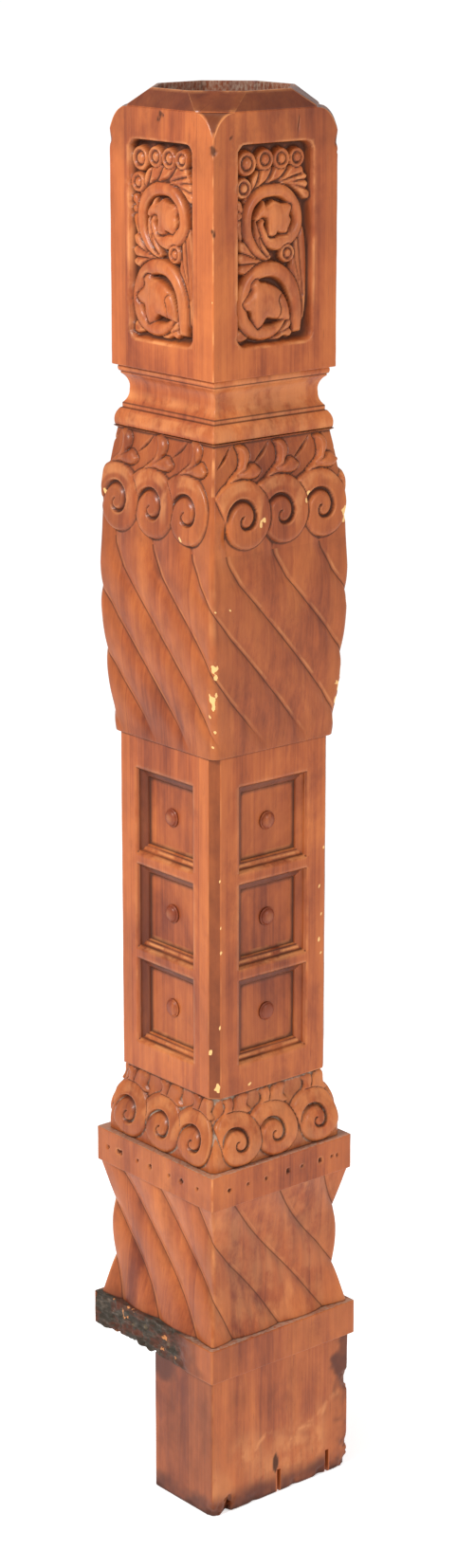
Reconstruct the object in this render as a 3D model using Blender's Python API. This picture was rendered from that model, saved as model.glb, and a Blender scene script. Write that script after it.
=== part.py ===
"""Carved wooden box newel post, about 60 in tall, with twelve turned bosses.

Run with: blender --background --python part.py

Metres, +Z up. The origin is the middle of the foot's underside, and the four faces are square to X and Y.
The post's surface is one sheet wrapped round four faces and folded over the rim into the bore. A place on it
is (turn, run): turn counts faces from the hidden back corner, and run is the distance along the profile.
"""

import math

import bmesh
import bpy
import numpy as np
from mathutils import Vector
from mathutils.geometry import delaunay_2d_cdt
from mathutils.kdtree import KDTree

MM = 0.001

# Heights above the underside
FOOT_TOP = 163 * MM
LOWER_BAND_TOP = 202 * MM
WAIST_TOP = 361 * MM
NAIL_BAND_TOP = 400 * MM
SCROLLS_TOP = 480 * MM
SHAFT_TOP = 853 * MM
BULB_WIDEST = 1060 * MM
BULB_TOP = 1180 * MM
HEAD_BOTTOM = 1243 * MM
SHOULDER_START = 1470 * MM
HEAD_TOP = 1505 * MM
RIM_TOP = 1524.5 * MM

# Half sizes across the faces
FOOT_HALF = 98.3 * MM
LOWER_BAND_HALF = 103.3 * MM
WAIST_FOOT_HALF = 97 * MM
WAIST_HALF = 88.5 * MM
WAIST_HEAD_HALF = 97 * MM
NAIL_BAND_HALF = 99.2 * MM
SCROLL_HALF = 95 * MM
SHAFT_HALF = 81.5 * MM
BULB_FOOT_HALF = 83.7 * MM
BULB_HALF = 94.5 * MM
BULB_HEAD_HALF = 82 * MM
NECK_HALF = 69 * MM
NECK_BEAD_HALF = 77 * MM
HEAD_HALF = 82 * MM
RIM_HALF = 69.7 * MM
RIM_WALL = 3.2 * MM
MOUTH_DEPTH = 38 * MM
BORE_HALF = 47.5 * MM

# Corners
SHAFT_CHAMFER = 9.4 * MM
SHOULDER_IN = 27 * MM
SHOULDER_UP = HEAD_TOP - SHOULDER_START
FILLET_IN = 1 * MM
FILLET_UP = 2.5 * MM
SOFT_CORNER = 3 * MM
OCTAGON_LEG = 2 - math.sqrt(2)

# The quarter cut out of the foot, and the two saw cuts in the front wall's lower edge
NOTCH_HEIGHT = FOOT_TOP
SAW_CUTS = [-3 * MM, 68 * MM]
SAW_CUT_WIDTH = 5 * MM
SAW_CUT_HEIGHT = 28 * MM
# Share of the front wall's thickness that a saw cut goes in
SAW_CUT_IN = 0.6
# A cutter runs this far past the wood
CUTTER_PAST = 20 * MM

# Sunk panels of the shaft, with a boss in each
PANEL_SIZE = 95 * MM
PANEL_PITCH = 106.3 * MM
PANEL_MIDDLE = 665 * MM
PANEL_DEPTH = 11.5 * MM
PANEL_MOULDING = 11 * MM
# The moulding round a panel: shares of its width inwards and of the panel's depth down
PANEL_STEPS = [(0, 0), (0.06, 0.22), (0.2, 0.3), (0.45, 0.62), (0.8, 0.74), (1, 1)]
PANELS = 3
BOSS_RADIUS = 10.5 * MM
BOSS_HEIGHT = 6.5 * MM
BOSS_EDGE = 1.8 * MM
BOSS_GAP = 0.3 * MM
BOSS_SIDES = 10
# The dome's one ring, in degrees up from its edge
BOSS_RING = 50

# Spiral ribs: how deep the valleys between them are, and where between two valleys the rib is highest
FLUTES_PER_FACE = 3
BULB_FLUTE_DEPTH = 4.2 * MM
BULB_RIB_CREST = 0.62
WAIST_FLUTE_DEPTH = 4.5 * MM
WAIST_RIB_CREST = 0.55
# The bulb's valleys shallow out over this height above the shaft
RIB_START = 40 * MM
# How far, in faces, the bulb's valleys have moved sideways at each height
BULB_VALLEY_LINE = [
    (SHAFT_TOP, 0.61),
    (BULB_WIDEST - 25 * MM, -0.29),
    (BULB_WIDEST, -0.37),
    (BULB_WIDEST + 25 * MM, -0.395),
]
# How much the waist's valleys bow to either side of a straight line, in faces
WAIST_VALLEY_BOW = 0.05
# Lines of the net between two valleys
BULB_RIB_LINES = (0, 0.3, 0.8)
WAIST_RIB_LINES = (0, 0.25, 0.55, 0.8)

# Scrolls of the two carved bands: how far the edge is from the eye at each quarter turn, clockwise from
# the top
UPPER_SCROLL = [x * MM for x in (39.5, 34.5, 30.5, 23.6, 20, 15.6, 10.5, 5, 2.4)]
LOWER_SCROLL = [x * MM for x in (34, 31, 25, 22.5, 17.5, 13.5, 8, 4.5, 2)]
# A scroll's stem starts this many quarter turns before the top, and this share of the radius further out
SCROLL_LEAD = 0.62
SCROLL_FLARE = 0.14
# Quarter turns at which the edge first shows inside the scroll and at which it ends by the eye
SCROLL_INNER = 2.9
SCROLL_END = 7.8
SCROLL_RISE = 0.3 * MM
SCROLL_GROOVE = 4.5 * MM
SCROLL_GROOVE_HALF = 2.6 * MM
SCROLL_GROUND = 4 * MM
SCROLL_STEP = 0.47
# The carving comes up to the plain wood over this height at a carved band's top
GROUND_RUN_OUT = 2 * MM
UPPER_EYE = 1103.4 * MM
LOWER_EYE = 427 * MM
UPPER_EYES = {
    "left": [x * MM for x in (-65, -8, 49)],
    "front": [x * MM for x in (-49.5, 2, 56.5)],
    "right": [x * MM for x in (-59, -3, 53)],
    "back": [x * MM for x in (-59, -3, 53)],
}
LOWER_EYES = {
    "left": [x * MM for x in (-55, 2, 56)],
    "front": [x * MM for x in (-54, -3, 56)],
    "right": [x * MM for x in (-56, 0, 56)],
    "back": [x * MM for x in (-56, 0, 56)],
}

# Carved panel of the head
RELIEF_HALF = 50 * MM
RELIEF_BOTTOM = 1273 * MM
RELIEF_TOP = 1474 * MM
RELIEF_CORNER = 11 * MM
RELIEF_DEPTH = 11 * MM
RELIEF_WALL = 1.5 * MM
RELIEF_DISH = 8 * MM

# A carved edge is a steep wall this wide
WALL = 1.4 * MM
# Share of a face's half, next to the corner, where carving leans towards the corner's own direction
CORNER_SHARE = 0.3
# The post's surface is thinned to about this many triangles
POST_TRIANGLES = 9200

# Faces in the order they are met going round from the hidden corner, and in quarter turns from the front
FACES = ["back", "left", "front", "right"]
QUARTER_TURNS = ["front", "right", "back", "left"]


def clear_scene():
    for item in list(bpy.data.objects):
        bpy.data.objects.remove(item, do_unlink=True)


def wood(name, colour, roughness):
    material = bpy.data.materials.new(name)
    material.use_nodes = True
    shader = material.node_tree.nodes["Principled BSDF"]
    shader.inputs["Base Color"].default_value = (*colour, 1)
    shader.inputs["Roughness"].default_value = roughness
    shader.inputs["Metallic"].default_value = 0
    return material


# Profile: rows of height, half size, corner leg and how round the corner is


def arc(start, end, bulge, steps):
    """Points from start to end, bowed to the left of the way by bulge; the start is left out."""
    (x0, y0), (x1, y1) = start, end
    length = math.hypot(x1 - x0, y1 - y0)
    nx, ny = -(y1 - y0) / length, (x1 - x0) / length
    points = []
    for i in range(1, steps + 1):
        t = i / steps
        out = 4 * t * (1 - t) * bulge
        points.append((x0 + (x1 - x0) * t + nx * out, y0 + (y1 - y0) * t + ny * out))
    return points


def waist_profile():
    middle = (WAIST_TOP + LOWER_BAND_TOP) / 2
    rows = [(LOWER_BAND_TOP, WAIST_FOOT_HALF)]
    steps = 5
    for i in range(1, steps + 1):
        z = LOWER_BAND_TOP + (WAIST_TOP - LOWER_BAND_TOP) * i / steps
        end = WAIST_FOOT_HALF if z < middle else WAIST_HEAD_HALF
        share = abs(z - middle) / (WAIST_TOP - middle)
        rows.append((z, WAIST_HALF + (end - WAIST_HALF) * share ** 2.4))
    return rows


def scroll_band_profile():
    rows = []
    steps = 4
    for i in range(steps + 1):
        t = i / steps
        z = NAIL_BAND_TOP + (SCROLLS_TOP - NAIL_BAND_TOP) * t
        fall = 0.5 - 0.5 * math.cos(math.pi * min(1, max(0, (t - 0.12) / 0.78)))
        rows.append((z, SCROLL_HALF + (SHAFT_HALF - SCROLL_HALF) * fall))
    return rows


def bulb_profile():
    rows = []
    lower, upper = 7, 4
    for i in range(lower + 1):
        t = i / lower
        z = SHAFT_TOP + (BULB_WIDEST - SHAFT_TOP) * t
        rows.append((z, BULB_HALF + (BULB_FOOT_HALF - BULB_HALF) * (1 - t) ** 2))
    for i in range(1, upper + 1):
        t = i / upper
        z = BULB_WIDEST + (BULB_TOP - BULB_WIDEST) * t
        rows.append((z, BULB_HALF + (BULB_HEAD_HALF - BULB_HALF) * t ** 1.9))
    return rows


def neck_profile():
    torus_top = BULB_TOP + 18 * MM
    fillet_top = torus_top + 5 * MM
    scotia_deep = fillet_top + 14 * MM
    bead_foot = HEAD_BOTTOM - 7 * MM
    rows = [(BULB_TOP + 1 * MM, BULB_HEAD_HALF - 1.5 * MM)]
    rows += arc(rows[-1], (torus_top, NECK_BEAD_HALF - 1 * MM), 1.5 * MM, 3)
    rows += [(torus_top, NECK_BEAD_HALF - 2.5 * MM), (fillet_top, NECK_BEAD_HALF - 2.5 * MM)]
    rows += arc(rows[-1], (scotia_deep, NECK_HALF), -1.6 * MM, 3)
    rows += arc(rows[-1], (bead_foot - 2 * MM, NECK_BEAD_HALF - 1.5 * MM), -2.6 * MM, 4)
    rows += [(bead_foot, NECK_BEAD_HALF - 1.5 * MM), (bead_foot, NECK_BEAD_HALF)]
    rows += [(HEAD_BOTTOM, NECK_BEAD_HALF)]
    return rows


def shoulder_rows():
    rows = []
    steps = 5
    for i in range(steps + 1):
        angle = math.pi / 2 * i / steps
        rows.append((
            SHOULDER_START + SHOULDER_UP * math.sin(angle),
            HEAD_HALF,
            SHOULDER_IN * (1 - math.cos(angle)),
            0,
        ))
    return rows


def profile():
    """The whole loop: up the outside, over the rim, down the mouth and the bore, and back under the foot."""
    rows = [(0, FOOT_HALF, 0, 0), (FOOT_TOP, FOOT_HALF, 0, 0)]
    rows += [(FOOT_TOP, LOWER_BAND_HALF, 0, 0), (LOWER_BAND_TOP, LOWER_BAND_HALF, 0, 0)]
    rows += [(z, half, SOFT_CORNER, 1) for z, half in waist_profile()]
    rows += [(WAIST_TOP, NAIL_BAND_HALF, SOFT_CORNER, 1), (NAIL_BAND_TOP, NAIL_BAND_HALF, SOFT_CORNER, 1)]
    rows += [(z, half, SHAFT_CHAMFER, 1) for z, half in scroll_band_profile()[:-1]]
    rows += [(SCROLLS_TOP, SHAFT_HALF, SHAFT_CHAMFER, 0), (SHAFT_TOP, SHAFT_HALF, SHAFT_CHAMFER, 0)]
    bulb = bulb_profile()
    for z, half in bulb:
        up = (z - SHAFT_TOP) / (BULB_TOP - SHAFT_TOP)
        rows.append((z, half, SHAFT_CHAMFER + (SOFT_CORNER - SHAFT_CHAMFER) * up, 1))
    rows += [(z, half, 0, 0) for z, half in neck_profile()]
    rows += [(HEAD_BOTTOM, HEAD_HALF, 0, 0)]
    rows += shoulder_rows()
    fillet = HEAD_HALF - FILLET_IN
    rows += [(HEAD_TOP, fillet, SHOULDER_IN, 0), (HEAD_TOP + FILLET_UP, fillet, SHOULDER_IN + FILLET_IN, 0)]
    rows += [(RIM_TOP, RIM_HALF, RIM_HALF * OCTAGON_LEG, 0)]
    mouth = RIM_HALF - RIM_WALL
    rows += [(RIM_TOP, mouth, mouth * OCTAGON_LEG, 0), (RIM_TOP - MOUTH_DEPTH, mouth, mouth * OCTAGON_LEG, 0)]
    rows += [(RIM_TOP - MOUTH_DEPTH, BORE_HALF, 0, 0), (0, BORE_HALF, 0, 0), (0, FOOT_HALF, 0, 0)]
    return np.array(rows, float)


PROFILE = profile()
RUN = np.concatenate([[0], np.cumsum(np.hypot(np.diff(PROFILE[:, 0]), np.diff(PROFILE[:, 1])))])
RIM_ROW = int(np.argmax(PROFILE[:, 0] >= RIM_TOP))
FACE_WIDTH = 2 * BULB_HALF


def run_at(z):
    """Distance along the outside of the profile at a height; a height on a ledge gives its upper end."""
    z = np.asarray(z, float)
    heights = PROFILE[: RIM_ROW + 1, 0]
    i = np.clip(np.searchsorted(heights, z, side="right") - 1, 0, RIM_ROW - 1)
    span = np.maximum(heights[i + 1] - heights[i], 1e-9)
    return RUN[i] + (RUN[i + 1] - RUN[i]) * np.clip((z - heights[i]) / span, 0, 1)


def section_at(run):
    return [np.interp(run, RUN, PROFILE[:, column]) for column in range(4)]


# Carving: everything below works on (across, z) of one face, and a face runs on round its corners


def distance_to(u, z, line, closed=False):
    """Distance from each point to a line of points."""
    line = np.asarray(line, float)
    ends = np.roll(line, -1, axis=0) if closed else line[1:]
    starts = line if closed else line[:-1]
    best = np.full(np.shape(u), 9.0)
    for (x0, y0), (x1, y1) in zip(starts, ends):
        dx, dy = x1 - x0, y1 - y0
        square = max(dx * dx + dy * dy, 1e-18)
        t = np.clip(((u - x0) * dx + (z - y0) * dy) / square, 0, 1)
        best = np.minimum(best, np.hypot(u - x0 - t * dx, z - y0 - t * dy))
    return best


def inside(u, z, outline):
    outline = np.asarray(outline, float)
    result = np.zeros(np.shape(u), bool)
    for (x0, y0), (x1, y1) in zip(outline, np.roll(outline, -1, axis=0)):
        if y0 == y1:
            continue
        crosses = (y0 > z) != (y1 > z)
        result ^= crosses & (u < (x1 - x0) * (z - y0) / (y1 - y0) + x0)
    return result


def offset(outline, by):
    """The closed outline moved outwards; it runs clockwise or anticlockwise."""
    p = np.asarray(outline, float)
    before, after = p - np.roll(p, 1, axis=0), np.roll(p, -1, axis=0) - p
    before /= np.linalg.norm(before, axis=1)[:, None] + 1e-12
    after /= np.linalg.norm(after, axis=1)[:, None] + 1e-12
    area = np.sum(p[:, 0] * np.roll(p[:, 1], -1) - p[:, 1] * np.roll(p[:, 0], -1))
    way = 1 if area > 0 else -1
    n1 = np.stack([before[:, 1], -before[:, 0]], 1) * way
    n2 = np.stack([after[:, 1], -after[:, 0]], 1) * way
    mean = n1 + n2
    size = np.maximum(np.sum(mean * n1, axis=1), 0.6)
    return p + mean * (by / size)[:, None]


class Raised:
    """A carved shape standing above what lies round it, with a steep edge and a rounded top."""

    def __init__(self, outline, top, crown=0.0, roll=4 * MM, wall=WALL):
        self.outline = np.asarray(outline, float)
        self.top, self.crown, self.roll, self.wall = top, crown, roll, wall
        self.grooves = []
        self.ridges = []

    def groove(self, line, depth, half, lip=True):
        """A V cut along a line; lip marks its banks too."""
        self.grooves.append((np.asarray(line, float), depth, half, lip))
        return self

    def ridge(self, line):
        """A line that only marks where the rounded top is highest."""
        self.ridges.append(np.asarray(line, float))
        return self

    def depth_in(self, u, z):
        away = distance_to(u, z, self.outline, True)
        return np.where(inside(u, z, self.outline), away, -away)

    def apply(self, u, z, height):
        depth = self.depth_in(u, z)
        t = np.clip(depth / self.roll, 0, 1)
        top = self.top + self.crown * np.sqrt(np.clip(1 - (1 - t) ** 2, 0, 1))
        for line, deep, half, _ in self.grooves:
            top = top - deep * np.clip(1 - distance_to(u, z, line) / half, 0, 1)
        share = np.clip((depth + self.wall) / self.wall, 0, 1)
        return height * (1 - share) + top * share

    def lines(self):
        found = [(self.outline, True), (offset(self.outline, self.wall), True)]
        found += [(line, False) for line in self.ridges]
        for line, _, half, lip in self.grooves:
            found.append((line, False))
            if lip:
                ahead = np.gradient(line, axis=0)
                ahead /= np.linalg.norm(ahead, axis=1)[:, None] + 1e-12
                side = np.stack([-ahead[:, 1], ahead[:, 0]], 1) * half
                found += [(line + side, False), (line - side, False)]
        return found


def scroll_radius(quarters, turn):
    """Distance from the eye to the scroll's edge, turn in quarter turns clockwise from the top."""
    return np.interp(turn, range(len(quarters)), quarters)


def scroll(eye_u, eye_z, quarters):
    """One scroll: its stem comes over the top from the left and winds inwards clockwise."""
    def at(turn, radius):
        angle = turn * math.pi / 2
        return (eye_u + radius * math.sin(angle), eye_z + radius * math.cos(angle))

    outline = []
    for turn in np.arange(-SCROLL_LEAD, 3.01, SCROLL_STEP):
        flare = quarters[0] * SCROLL_FLARE * max(0, -turn / SCROLL_LEAD)
        outline.append(at(turn, scroll_radius(quarters, max(turn, 0)) + flare))
    inner = np.arange(SCROLL_INNER, SCROLL_END, SCROLL_STEP)
    edge = [at(turn, scroll_radius(quarters, turn)) for turn in inner]
    return Raised(outline, SCROLL_RISE).groove(edge, SCROLL_GROOVE, SCROLL_GROOVE_HALF)


def blade(base, tip, width, bend=0.0, top=-2 * MM, crown=1.5 * MM):
    """A pointed leaflet from base to tip, widest past its middle."""
    (x0, y0), (x1, y1) = base, tip
    length = math.hypot(x1 - x0, y1 - y0)
    dx, dy = (x1 - x0) / length, (y1 - y0) / length
    left, right, spine = [], [], []
    for along, share in ((0.0, 0.3), (0.4, 0.8), (0.8, 1.0)):
        out = 4 * along * (1 - along) * bend
        x, y = x0 + dx * length * along - dy * out, y0 + dy * length * along + dx * out
        spine.append((x, y))
        left.append((x - dy * width / 2 * share, y + dx * width / 2 * share))
        right.append((x + dy * width / 2 * share, y - dx * width / 2 * share))
    shape = Raised(left + [(x1, y1)] + right[::-1], top - crown, crown, width / 2)
    return shape.ridge(spine[1:])


def bud(u, z, radius):
    """A snail bud: a round button with a ring cut round its eye."""
    def circle(size, sides, count):
        angles = [2 * math.pi * i / sides for i in range(count)]
        return [(u + size * math.sin(angle), z + size * math.cos(angle)) for angle in angles]

    ring = circle(radius, 8, 8)
    cut = circle(radius * 0.6, 6, 7)
    shape = Raised(ring, -3 * MM, 1 * MM, radius * 0.4)
    shape.groove(cut, 3 * MM, radius * 0.3, lip=False)
    return shape.ridge([(u, z), (u + 0.5 * MM, z)])


def band(centre, half_width, top, crown):
    """A rounded strap along a centre line."""
    line = np.asarray(centre, float)
    ahead = np.gradient(line, axis=0)
    ahead /= np.linalg.norm(ahead, axis=1)[:, None]
    side = np.stack([-ahead[:, 1], ahead[:, 0]], 1)
    shares = np.linspace(0, 1, len(line))
    halves = np.interp(shares, np.linspace(0, 1, len(half_width)), half_width)[:, None]
    outline = np.concatenate([line + side * halves, (line - side * halves)[::-1]])
    shape = Raised(outline, top - crown, crown, max(half_width))
    return shape.ridge(line)


def mm_points(*pairs):
    return [(x * MM, y * MM) for x, y in pairs]


def head_carving():
    """The scrolling stem of the head's panel, from what lies deepest to what lies on top."""
    shapes = []
    stem = mm_points((38, 1390))[0]
    shapes.append(blade(mm_points((42, 1303))[0], stem, 11 * MM, -5 * MM, top=-4 * MM))
    for tip in mm_points((-47, 1376), (-49.5, 1362), (-46, 1349)):
        shapes.append(blade(mm_points((-14, 1359))[0], tip, 12 * MM, top=-3 * MM))
    shapes.append(blade(mm_points((-40, 1384))[0], mm_points((-49, 1399))[0], 6 * MM, top=-5 * MM))
    for tip in mm_points((-47, 1417), (-48, 1406)):
        shapes.append(blade(mm_points((-38, 1398))[0], tip, 9 * MM, top=-3 * MM))
    for tip in mm_points((-27, 1445), (-11, 1446), (8, 1447), (28, 1447)):
        shapes.append(blade(mm_points((-36, 1413))[0], tip, 10 * MM, 4 * MM, top=-3 * MM))
    for tip in mm_points((43, 1438), (48, 1420)):
        shapes.append(blade(mm_points((22, 1430))[0], tip, 9 * MM, 3 * MM, top=-3 * MM))
    for u, z, radius in ((-35.5, 1454.5, 12.5), (-12, 1457, 10.5), (10, 1458, 10), (30.5, 1457, 9.7),
                         (-40, 1430, 9.8)):
        shapes.append(bud(u * MM, z * MM, radius * MM))
    shapes.append(blade(mm_points((-32, 1277))[0], mm_points((-48, 1287))[0], 10 * MM, top=-4 * MM))
    shapes.append(blade(mm_points((2, 1281))[0], mm_points((26, 1290))[0], 12 * MM, top=-3 * MM))
    upper = mm_points((-3, 1363), (-24, 1380), (-35, 1400), (-24, 1420), (1.5, 1428), (24, 1421), (32, 1402),
                      (27, 1386), (12, 1376))
    shapes.append(band(upper, [5 * MM, 6.5 * MM, 6.5 * MM, 6.5 * MM, 6.5 * MM, 5 * MM], -1.5 * MM, 3 * MM))
    lower = mm_points((40, 1284), (36, 1303), (31, 1322), (20, 1338), (-8, 1350), (-30, 1342), (-42, 1324),
                      (-42.5, 1305), (-35, 1292), (-15, 1284), (4, 1288))
    lower_halves = [2.5 * MM, 7 * MM, 7.5 * MM, 7.5 * MM, 7.5 * MM, 6.5 * MM, 5 * MM]
    shapes.append(band(lower, lower_halves, -1.5 * MM, 3 * MM))
    upper_leaf_edge = mm_points((-20, 1381), (-27, 1396), (-14, 1414), (2, 1417), (21, 1411), (25, 1396),
                                (20, 1379), (4, 1371), (-10, 1372))
    shapes.append(Raised(upper_leaf_edge, -5 * MM, 3.5 * MM, 11 * MM)
                  .ridge(mm_points((-14, 1392), (0, 1396), (13, 1398)))
                  .ridge(mm_points((3, 1382), (3, 1407))))
    lower_leaf_edge = mm_points((-23, 1341), (-31, 1328), (-40, 1317), (-30, 1307), (-22, 1292), (-8, 1299),
                                (8, 1300), (8, 1322), (-2, 1333), (-16, 1331))
    shapes.append(Raised(lower_leaf_edge, -5 * MM, 3.5 * MM, 11 * MM)
                  .ridge(mm_points((-29, 1316), (-12, 1315), (0, 1309)))
                  .ridge(mm_points((-20, 1330), (-18, 1303))))
    shapes.append(bud(21 * MM, 1364 * MM, 7.5 * MM))
    return shapes


def upper_leaf(u, z):
    """The hooked double leaf over a scroll of the bulb."""
    def beside(*pairs):
        return [(u + x * MM, z + y * MM) for x, y in pairs]

    upper = beside((-22, 32), (-8, 43), (1, 56), (2, 68), (1, 74), (9, 76), (16, 72), (18, 64), (13, 51),
                   (6, 42), (-8, 39))
    lower = beside((-4, 41), (14, 52), (25, 54), (30, 47), (25, 37), (12, 38))
    spine = beside((-8, 41), (5, 52), (10, 64))
    middle = beside((10, 43), (22, 47))
    return [Raised(lower, -2.5 * MM, 2 * MM, 6 * MM).ridge(middle),
            Raised(upper, -1.5 * MM, 2 * MM, 6 * MM).ridge(spine)]


def lower_leaf(u, z):
    """The two small lobes over a scroll of the lower band."""
    shapes = []
    for left, right in ((-15, 4), (4, 25)):
        middle, half = (left + right) / 2, (right - left) / 2
        lobe = [(u + (middle + x * half) * MM, z + y * MM)
                for x, y in ((-0.95, 34), (-0.8, 45), (0, 49), (0.8, 45), (0.95, 34), (0.2, 30))]
        shapes.append(Raised(lobe, -1 * MM))
    return shapes


def flute_shift(z):
    """How far the flute lines have moved sideways at a height, in faces."""
    heights, shifts = zip(*BULB_VALLEY_LINE)
    up = (z - LOWER_BAND_TOP) / (WAIST_TOP - LOWER_BAND_TOP)
    bow = WAIST_VALLEY_BOW * np.sin(math.pi * up) * np.cos(math.pi * up)
    return np.where(z > WAIST_TOP, np.interp(z, heights, shifts), 2 / FLUTES_PER_FACE * (1 - up) + bow)


def flute_phase(turn, z):
    """Place between two flute lines, from 0 at one line to 1 at the next."""
    return ((turn - 0.5 - flute_shift(z)) * FLUTES_PER_FACE) % 1


def rise(x):
    x = np.clip(x, 0, 1)
    return x * x * (3 - 2 * x)


def rib(turn, z, depth, crest):
    """Rounded ribs with a sharp valley between each two."""
    phase = flute_phase(turn, z)
    to_crest = np.where(phase < crest, phase / crest, (1 - phase) / (1 - crest))
    return -depth * (1 - to_crest) ** 2


def bulb_base(turn, z):
    ribs = rib(turn, z, BULB_FLUTE_DEPTH, BULB_RIB_CREST) * rise((z - SHAFT_TOP) / RIB_START)
    share = rise((z - BULB_WIDEST) / (UPPER_EYE - BULB_WIDEST))
    carved = ribs * (1 - share) - SCROLL_GROUND * share
    return carved * rise((BULB_TOP - z) / GROUND_RUN_OUT)


def waist_base(turn, z):
    return rib(turn, z, WAIST_FLUTE_DEPTH, WAIST_RIB_CREST)


def sunk_panel_lines():
    """Each sunk panel as nested squares: half size and depth."""
    return [(PANEL_SIZE / 2 - PANEL_MOULDING * inward, -PANEL_DEPTH * down) for inward, down in PANEL_STEPS]


def panel_middle(index):
    return PANEL_MIDDLE + (index - (PANELS - 1) / 2) * PANEL_PITCH


def shaft_height(u, z):
    height = np.zeros(np.shape(u))
    sizes, depths = zip(*sunk_panel_lines()[::-1])
    for i in range(PANELS):
        size = np.maximum(np.abs(u), np.abs(z - panel_middle(i)))
        height = np.where(size < PANEL_SIZE / 2, np.interp(size, sizes, depths), height)
    return height


def rounded_square(left, right, bottom, top, corner, steps=3):
    points = []
    for cx, cz, start in ((right - corner, top - corner, 0), (left + corner, top - corner, 1),
                          (left + corner, bottom + corner, 2), (right - corner, bottom + corner, 3)):
        for i in range(steps + 1):
            angle = math.pi / 2 * (start + i / steps)
            points.append((cx + corner * math.cos(angle), cz + corner * math.sin(angle)))
    return points


def relief_frames():
    """The opening of the head's panel and the edge of its flat ground."""
    opening = rounded_square(-RELIEF_HALF, RELIEF_HALF, RELIEF_BOTTOM, RELIEF_TOP, RELIEF_CORNER)
    ground = rounded_square(-RELIEF_HALF + RELIEF_WALL, RELIEF_HALF - RELIEF_DISH,
                            RELIEF_BOTTOM + RELIEF_DISH, RELIEF_TOP - RELIEF_WALL,
                            RELIEF_CORNER - RELIEF_WALL)
    return opening, ground


def relief_base(u, z):
    opening, ground = relief_frames()
    to_opening = distance_to(u, z, opening, True)
    to_ground = distance_to(u, z, ground, True)
    share = to_opening / np.maximum(to_opening + to_ground, 1e-9)
    share = np.where(inside(u, z, ground), 1, share)
    return np.where(inside(u, z, opening), -RELIEF_DEPTH * share, 0)


class Zone:
    """A stretch of the post with its own carving on each face."""

    def __init__(self, low, high, base, shapes, lines):
        self.low, self.high, self.base = low, high, base
        self.shapes, self.own_lines = shapes, lines


def zones():
    frame = relief_frames()
    head_shapes = head_carving()
    found = []
    head_lines = [(line, True) for line in frame]
    found.append(Zone(HEAD_BOTTOM, HEAD_TOP, lambda t, u, z: relief_base(u, z), lambda face: head_shapes,
                      lambda face: head_lines))

    def upper(face):
        eyes = UPPER_EYES[face]
        leaves = [shape for eye in eyes for shape in upper_leaf(eye, UPPER_EYE)]
        return leaves + [scroll(eye, UPPER_EYE, UPPER_SCROLL) for eye in eyes[::-1]]

    found.append(Zone(SHAFT_TOP, BULB_TOP, lambda t, u, z: bulb_base(t, z), upper, lambda face: []))

    def lower(face):
        eyes = LOWER_EYES[face]
        leaves = [shape for eye in eyes for shape in lower_leaf(eye, LOWER_EYE)]
        return leaves + [scroll(eye, LOWER_EYE, LOWER_SCROLL) for eye in eyes[::-1]]

    def lower_ground(t, u, z):
        return -SCROLL_GROUND * rise((SCROLLS_TOP - GROUND_RUN_OUT - z) / GROUND_RUN_OUT)

    found.append(Zone(NAIL_BAND_TOP, SCROLLS_TOP, lower_ground, lower, lambda face: []))
    panel_lines = []
    for i in range(PANELS):
        for size, _ in sunk_panel_lines():
            z = panel_middle(i)
            square = [(-size, z - size), (size, z - size), (size, z + size), (-size, z + size)]
            panel_lines.append((np.array(square), True))
    found.append(Zone(SCROLLS_TOP, SHAFT_TOP, lambda t, u, z: shaft_height(u, z), lambda face: [],
                      lambda face: panel_lines))
    found.append(Zone(LOWER_BAND_TOP, WAIST_TOP, lambda t, u, z: waist_base(t, z), lambda face: [],
                      lambda face: []))
    return found


ZONES = zones()


def across(turn, face_index, half):
    """Distance from a face's middle line, running on past its corners, the short way round."""
    away = (turn - face_index - 0.5 + 2) % 4 - 2
    return away * 2 * half


def carved_height(turn, run):
    """How far the surface stands out from, or lies behind, the plain section."""
    z, half, _, _ = section_at(run)
    outside = run < RUN[RIM_ROW]
    height = np.zeros(np.shape(turn))
    for zone in ZONES:
        low, high = float(run_at(zone.low)), RUN[np.searchsorted(PROFILE[:RIM_ROW, 0], zone.high - 1e-9)]
        here = outside & (run >= low - 1e-9) & (run <= high + 1e-9)
        if not here.any():
            continue
        t, zz, hh = turn[here], z[here], half[here]
        found = zone.base(t, (t - np.floor(t) - 0.5) * 2 * hh, zz)
        for index, face in enumerate(FACES):
            u = across(t, index, hh)
            near = np.abs(u) < hh * 1.5
            if not near.any():
                continue
            part = found[near]
            for shape in zone.shapes(face):
                part = shape.apply(u[near], zz[near], part)
            found[near] = part
        height[here] = found
    return height


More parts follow.
